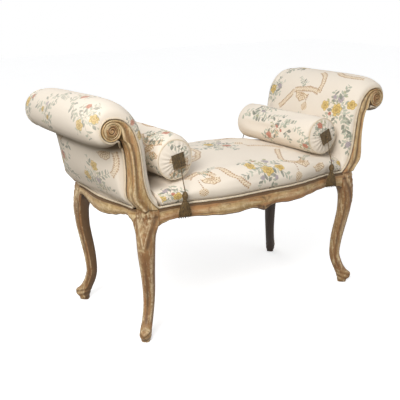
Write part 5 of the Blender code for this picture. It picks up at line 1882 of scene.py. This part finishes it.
def make_leg(tag, side, end):
    """A cabriole leg that faces out along the corner's diagonal, with its carving."""
    out = Vector((side, end, 0)).normalized()
    across = Vector((-out.y, out.x, 0))
    foot = Vector((side * FOOT_X, end * FOOT_Y, 0))
    rings, groove, bare = [], [], []
    for r in range(LEG_ROWS):
        height = r / (LEG_ROWS - 1)
        if height < LEG_TOES:
            height = r / LEG_ROWS
        inner, outer, half, square = leg_row(height)
        lean = Vector(LEG_LEAN.get(tag, (0, 0, 0))) * eased(height, 0.02, 0.45) * (1.4 - 0.7 * height)
        middle = (inner + outer) / 2 * LEG_THICK
        reach = (outer - inner) / 2 * LEG_THICK
        ring = []
        for turn, c, s in circle(LEG_ROUND):
            u = reach * copysign(abs(c) ** (2 / square), c)
            v = half * LEG_THICK * copysign(abs(s) ** (2 / square), s)
            away = Vector((u, v)).normalized()
            towards = (turn if turn <= pi else turn - tau) * side * end
            lift, deep = leg_relief(height, towards, LEG_INSIDE_SHADE[tag])
            u += middle + away.x * (lift + LEG_FULLER)
            v += away.y * (lift + LEG_FULLER)
            ring.append(foot + out * u + across * v + Vector((0, 0, height * RAIL_TOP)) + lean)
            groove.append(deep)
            bare.append(leg_bare(height, towards, side + end * 3))
        rings.append(ring)
    add_wood("leg_carved_" + tag, rings, False, PAINTED_LEG_SHADED, groove, bare, ["leg_" + tag])


# Rails

FRONT_APRON_shares = [(0.0, 1.29), (0.035, 1.17), (0.075, 1.03), (0.125, 0.95), (0.18, 0.97),
                      (0.27, 1.04), (0.39, 1.035), (0.53, 0.945), (0.66, 0.86), (0.80, 0.81),
                      (0.88, 0.84), (0.95, 0.98), (1.0, 1.15)]
END_APRON_shares = [(0.0, 1.0), (0.22, 0.95), (0.45, 0.82), (0.70, 0.60), (0.86, 0.485),
                    (0.93, 0.505), (1.0, 0.66), (1.06, 0.95)]
# Moulding: share of the rail's height below the top, distance inward, groove
RAIL_RELIEF = [
    (0.0, 0.0046, 1.0), (0.04, 0.0034, 1.0), (0.09, 0.0026, 1.0), (0.135, 0.0014, 0.7),
    (0.18, 0.0009, 0.25), (0.26, 0.0010, 0.28), (0.34, 0.0006, 0.10), (0.43, 0.0002, -0.15),
    (0.54, 0.0, -0.35), (0.64, 0.0004, -0.25), (0.72, 0.0014, 0.15), (0.78, 0.0026, 0.45),
    (0.83, 0.0024, 0.40), (0.88, 0.0020, 0.22), (0.93, 0.0030, 0.72), (0.97, 0.0056, 1.02),
    (1.0, 0.0084, 1.06)]
RAIL_INTO_LEG = 0.022
RAIL_STEPS = 120
GROOVE_MOST = 1.06
RAIL_SINK = 0.012           # how far the moulding turns in behind a leg
CARTOUCHE_HALF = 0.034
CARTOUCHE_LIFT = 0.0026


def make_rail(name, half, face_of, back, apron, place, carve, flip):
    """A rail: its moulding carried along the curved face and the shaped lower edge."""
    rings, groove = [], []
    reach = half + RAIL_INTO_LEG
    for i in range(RAIL_STEPS + 1):
        along = reach * (2 * i / RAIL_STEPS - 1)
        face = face_of(along)
        depth = RAIL_DEPTH * read_table(apron, abs(along) / half) + APRON_MORE
        sink = RAIL_SINK * eased(abs(along), half - 0.004, half + RAIL_INTO_LEG)
        ring = []
        for down, inward, deep in RAIL_RELIEF:
            lift, extra = carve(along, down)
            worn = WOOD_WORN * ripple((along, down * 0.05, half), 0.03, 2)
            ring.append(place(along, face - inward + lift + worn - sink, RAIL_TOP - down * depth))
            groove.append(min(GROOVE_MOST, deep + extra))
        for spot, z in ((back + 0.010, depth), (back, depth * 0.98), (back, 0.0)):
            ring.append(place(along, spot, RAIL_TOP - z))
            groove.append(0.6)
        rings.append(ring)
    add_wood(name + "_carved", rings, flip, PAINTED_RAIL, groove, nodes=[name])


def front_carving(along, down):
    """The little leaf cartouche in the middle of a long rail."""
    x = along / CARTOUCHE_HALF
    y = (down - 0.62) / 0.40
    far = hypot(x, y)
    if far > 1.3:
        return 0.0, 0.0
    shown = 1 - eased(far, 0.85, 1.25)
    turn = atan2(y, x)
    lobes = 0.5 + 0.5 * cos(turn * 7 + far * 4)
    lift = CARTOUCHE_LIFT * shown * (0.55 + 0.45 * lobes)
    return lift, shown * (0.5 - 0.5 * lobes)


def plain_carving(along, down):
    return 0.0, 0.0


def make_rails():
    for end_name, end in ENDS.items():
        make_rail(end_name + "_rail", BLOCK_IN_X, front_face, RAIL_FACE_Y - RAIL_BACK,
                  FRONT_APRON_shares, lambda a, o, z, end=end: Vector((a, end * o, z)),
                  front_carving, end > 0)
    for side_name, side in SIDES.items():
        make_rail(side_name + "_end_rail", BLOCK_IN_Y, end_face, RAIL_FACE_X - RAIL_BACK,
                  END_APRON_shares, lambda a, o, z, side=side: Vector((side * o, a, z)),
                  plain_carving, side < 0)


# Camera, light and floor

WORLD_LOW = 0.30            # the world's light near the horizon and overhead
WORLD_HIGH = 0.60
FLOOR_GLOW = 0.58
FLOOR_HALF = 8
LAMPS = [("key", (-2.5, -1.9, 2.5), 1.4, 108.0), ("fill", (1.6, -2.8, 1.4), 2.0, 8.0),
         ("rim", (0.4, 2.6, 2.6), 2.0, 14.0)]       # name, place, size and power
LAMPS_AIM = Vector((0.0, 0.0, 0.4))


def rays_seen(m):
    """1 for what the camera, a gloss or a clear surface sees, and 0 for the light that falls."""
    return m.most(*[m.node("LightPath", out=f"Is {kind} Ray")
                    for kind in ("Camera", "Glossy", "Transmission")])


def make_camera():
    data = bpy.data.cameras.new("camera")
    data.lens = CAMERA_LENS
    camera = link(bpy.data.objects.new("camera", data))
    camera.location = CAMERA_AT
    camera.rotation_euler = (radians(90 - CAMERA_DOWN_DEG), 0.0, -radians(CAMERA_YAW_DEG))
    bpy.context.scene.camera = camera


def make_world():
    world = bpy.data.worlds.new("world")
    world.use_nodes = True
    bpy.context.scene.world = world
    m = Maker(world.node_tree)
    seen = rays_seen(m)
    up = m.node("SeparateXYZ", {0: m.node("TexCoord", out="Generated")}, 2)
    sky = WORLD_LOW + m.step(up, 0.0, 0.9) * (WORLD_HIGH - WORLD_LOW)
    background = world.node_tree.nodes["Background"]
    m.put(background.inputs["Color"], m.mix(seen, "#EEF0F4", "#FFFFFF"))
    m.put(background.inputs["Strength"], sky + seen * (1.0 - sky))


def make_floor():
    floor = bpy.data.meshes.new("floor")
    corners = [(-1, -1), (1, -1), (1, 1), (-1, 1)]
    floor.from_pydata([(FLOOR_HALF * x, FLOOR_HALF * y, 0) for x, y in corners], [],
                      [(0, 1, 2, 3)])
    m = Finish("floor")
    m.put(m.shader.inputs["Roughness"], 0.9)
    m.put(m.shader.inputs["Base Color"], m.mix(m.noise(m.on_object(), 3.0), "#E8E7E5", "#E3E2E0"))
    glow = m.node("Emission", {"Color": "#FFFFFF", "Strength": FLOOR_GLOW})
    both = m.node("AddShader", {0: Value(m, m.shader.outputs[0]), 1: glow})
    unseen = m.node("BsdfDiffuse", {"Color": "#8C8578"})
    chosen = m.node("MixShader", {0: rays_seen(m), 1: unseen, 2: both})
    m.put(m.tree.nodes["Material Output"].inputs["Surface"], chosen)
    floor.materials.append(m.material)
    link(bpy.data.objects.new("floor", floor))


def make_stage():
    bpy.context.scene.view_settings.view_transform = "Standard"
    make_camera()
    make_world()
    make_floor()
    for name, place, size, power in LAMPS:
        lamp = bpy.data.lights.new(name, "AREA")
        lamp.size = size
        lamp.energy = power
        holder = link(bpy.data.objects.new(name, lamp))
        holder.location = place
        aim = LAMPS_AIM - Vector(place)
        holder.rotation_euler = aim.to_track_quat("-Z", "Y").to_euler()


def paint_frame():
    """Finishes of the CAD nodes that stay."""
    finishes = {"painted_wood": PAINTED, "plain_wood": PLAIN, "piping": WELT, "jute": JUTE,
                "printed_cotton": make_cotton("plain", (1.0, 1.0), []), "braid": BRAID,
                "bronze_thread": THREAD}
    for row in frame["record"]["subparts"]:
        mesh = NODES[row["node"]].data
        mesh.materials.clear()
        mesh.materials.append(finishes[row["material_slot"]])


def build():
    make_stage()
    paint_frame()
    make_seat()
    for side_name, side in SIDES.items():
        make_arm_pad(side_name, side)
        make_outside_panel(side_name, side)
        make_panel_welt(side_name, side)
        make_bolster(side_name, side)
        for end_name, end in ENDS.items():
            make_braid(f"{end_name}_{side_name}", side, end)
            make_tassel(f"{end_name}_{side_name}")
    for end_name, end in ENDS.items():
        make_cover_welt(end_name, end)
        for side_name, side in SIDES.items():
            make_post(f"{end_name}_{side_name}", side, end)
            make_leg(f"{end_name}_{side_name}", side, end)
    make_rails()


build()
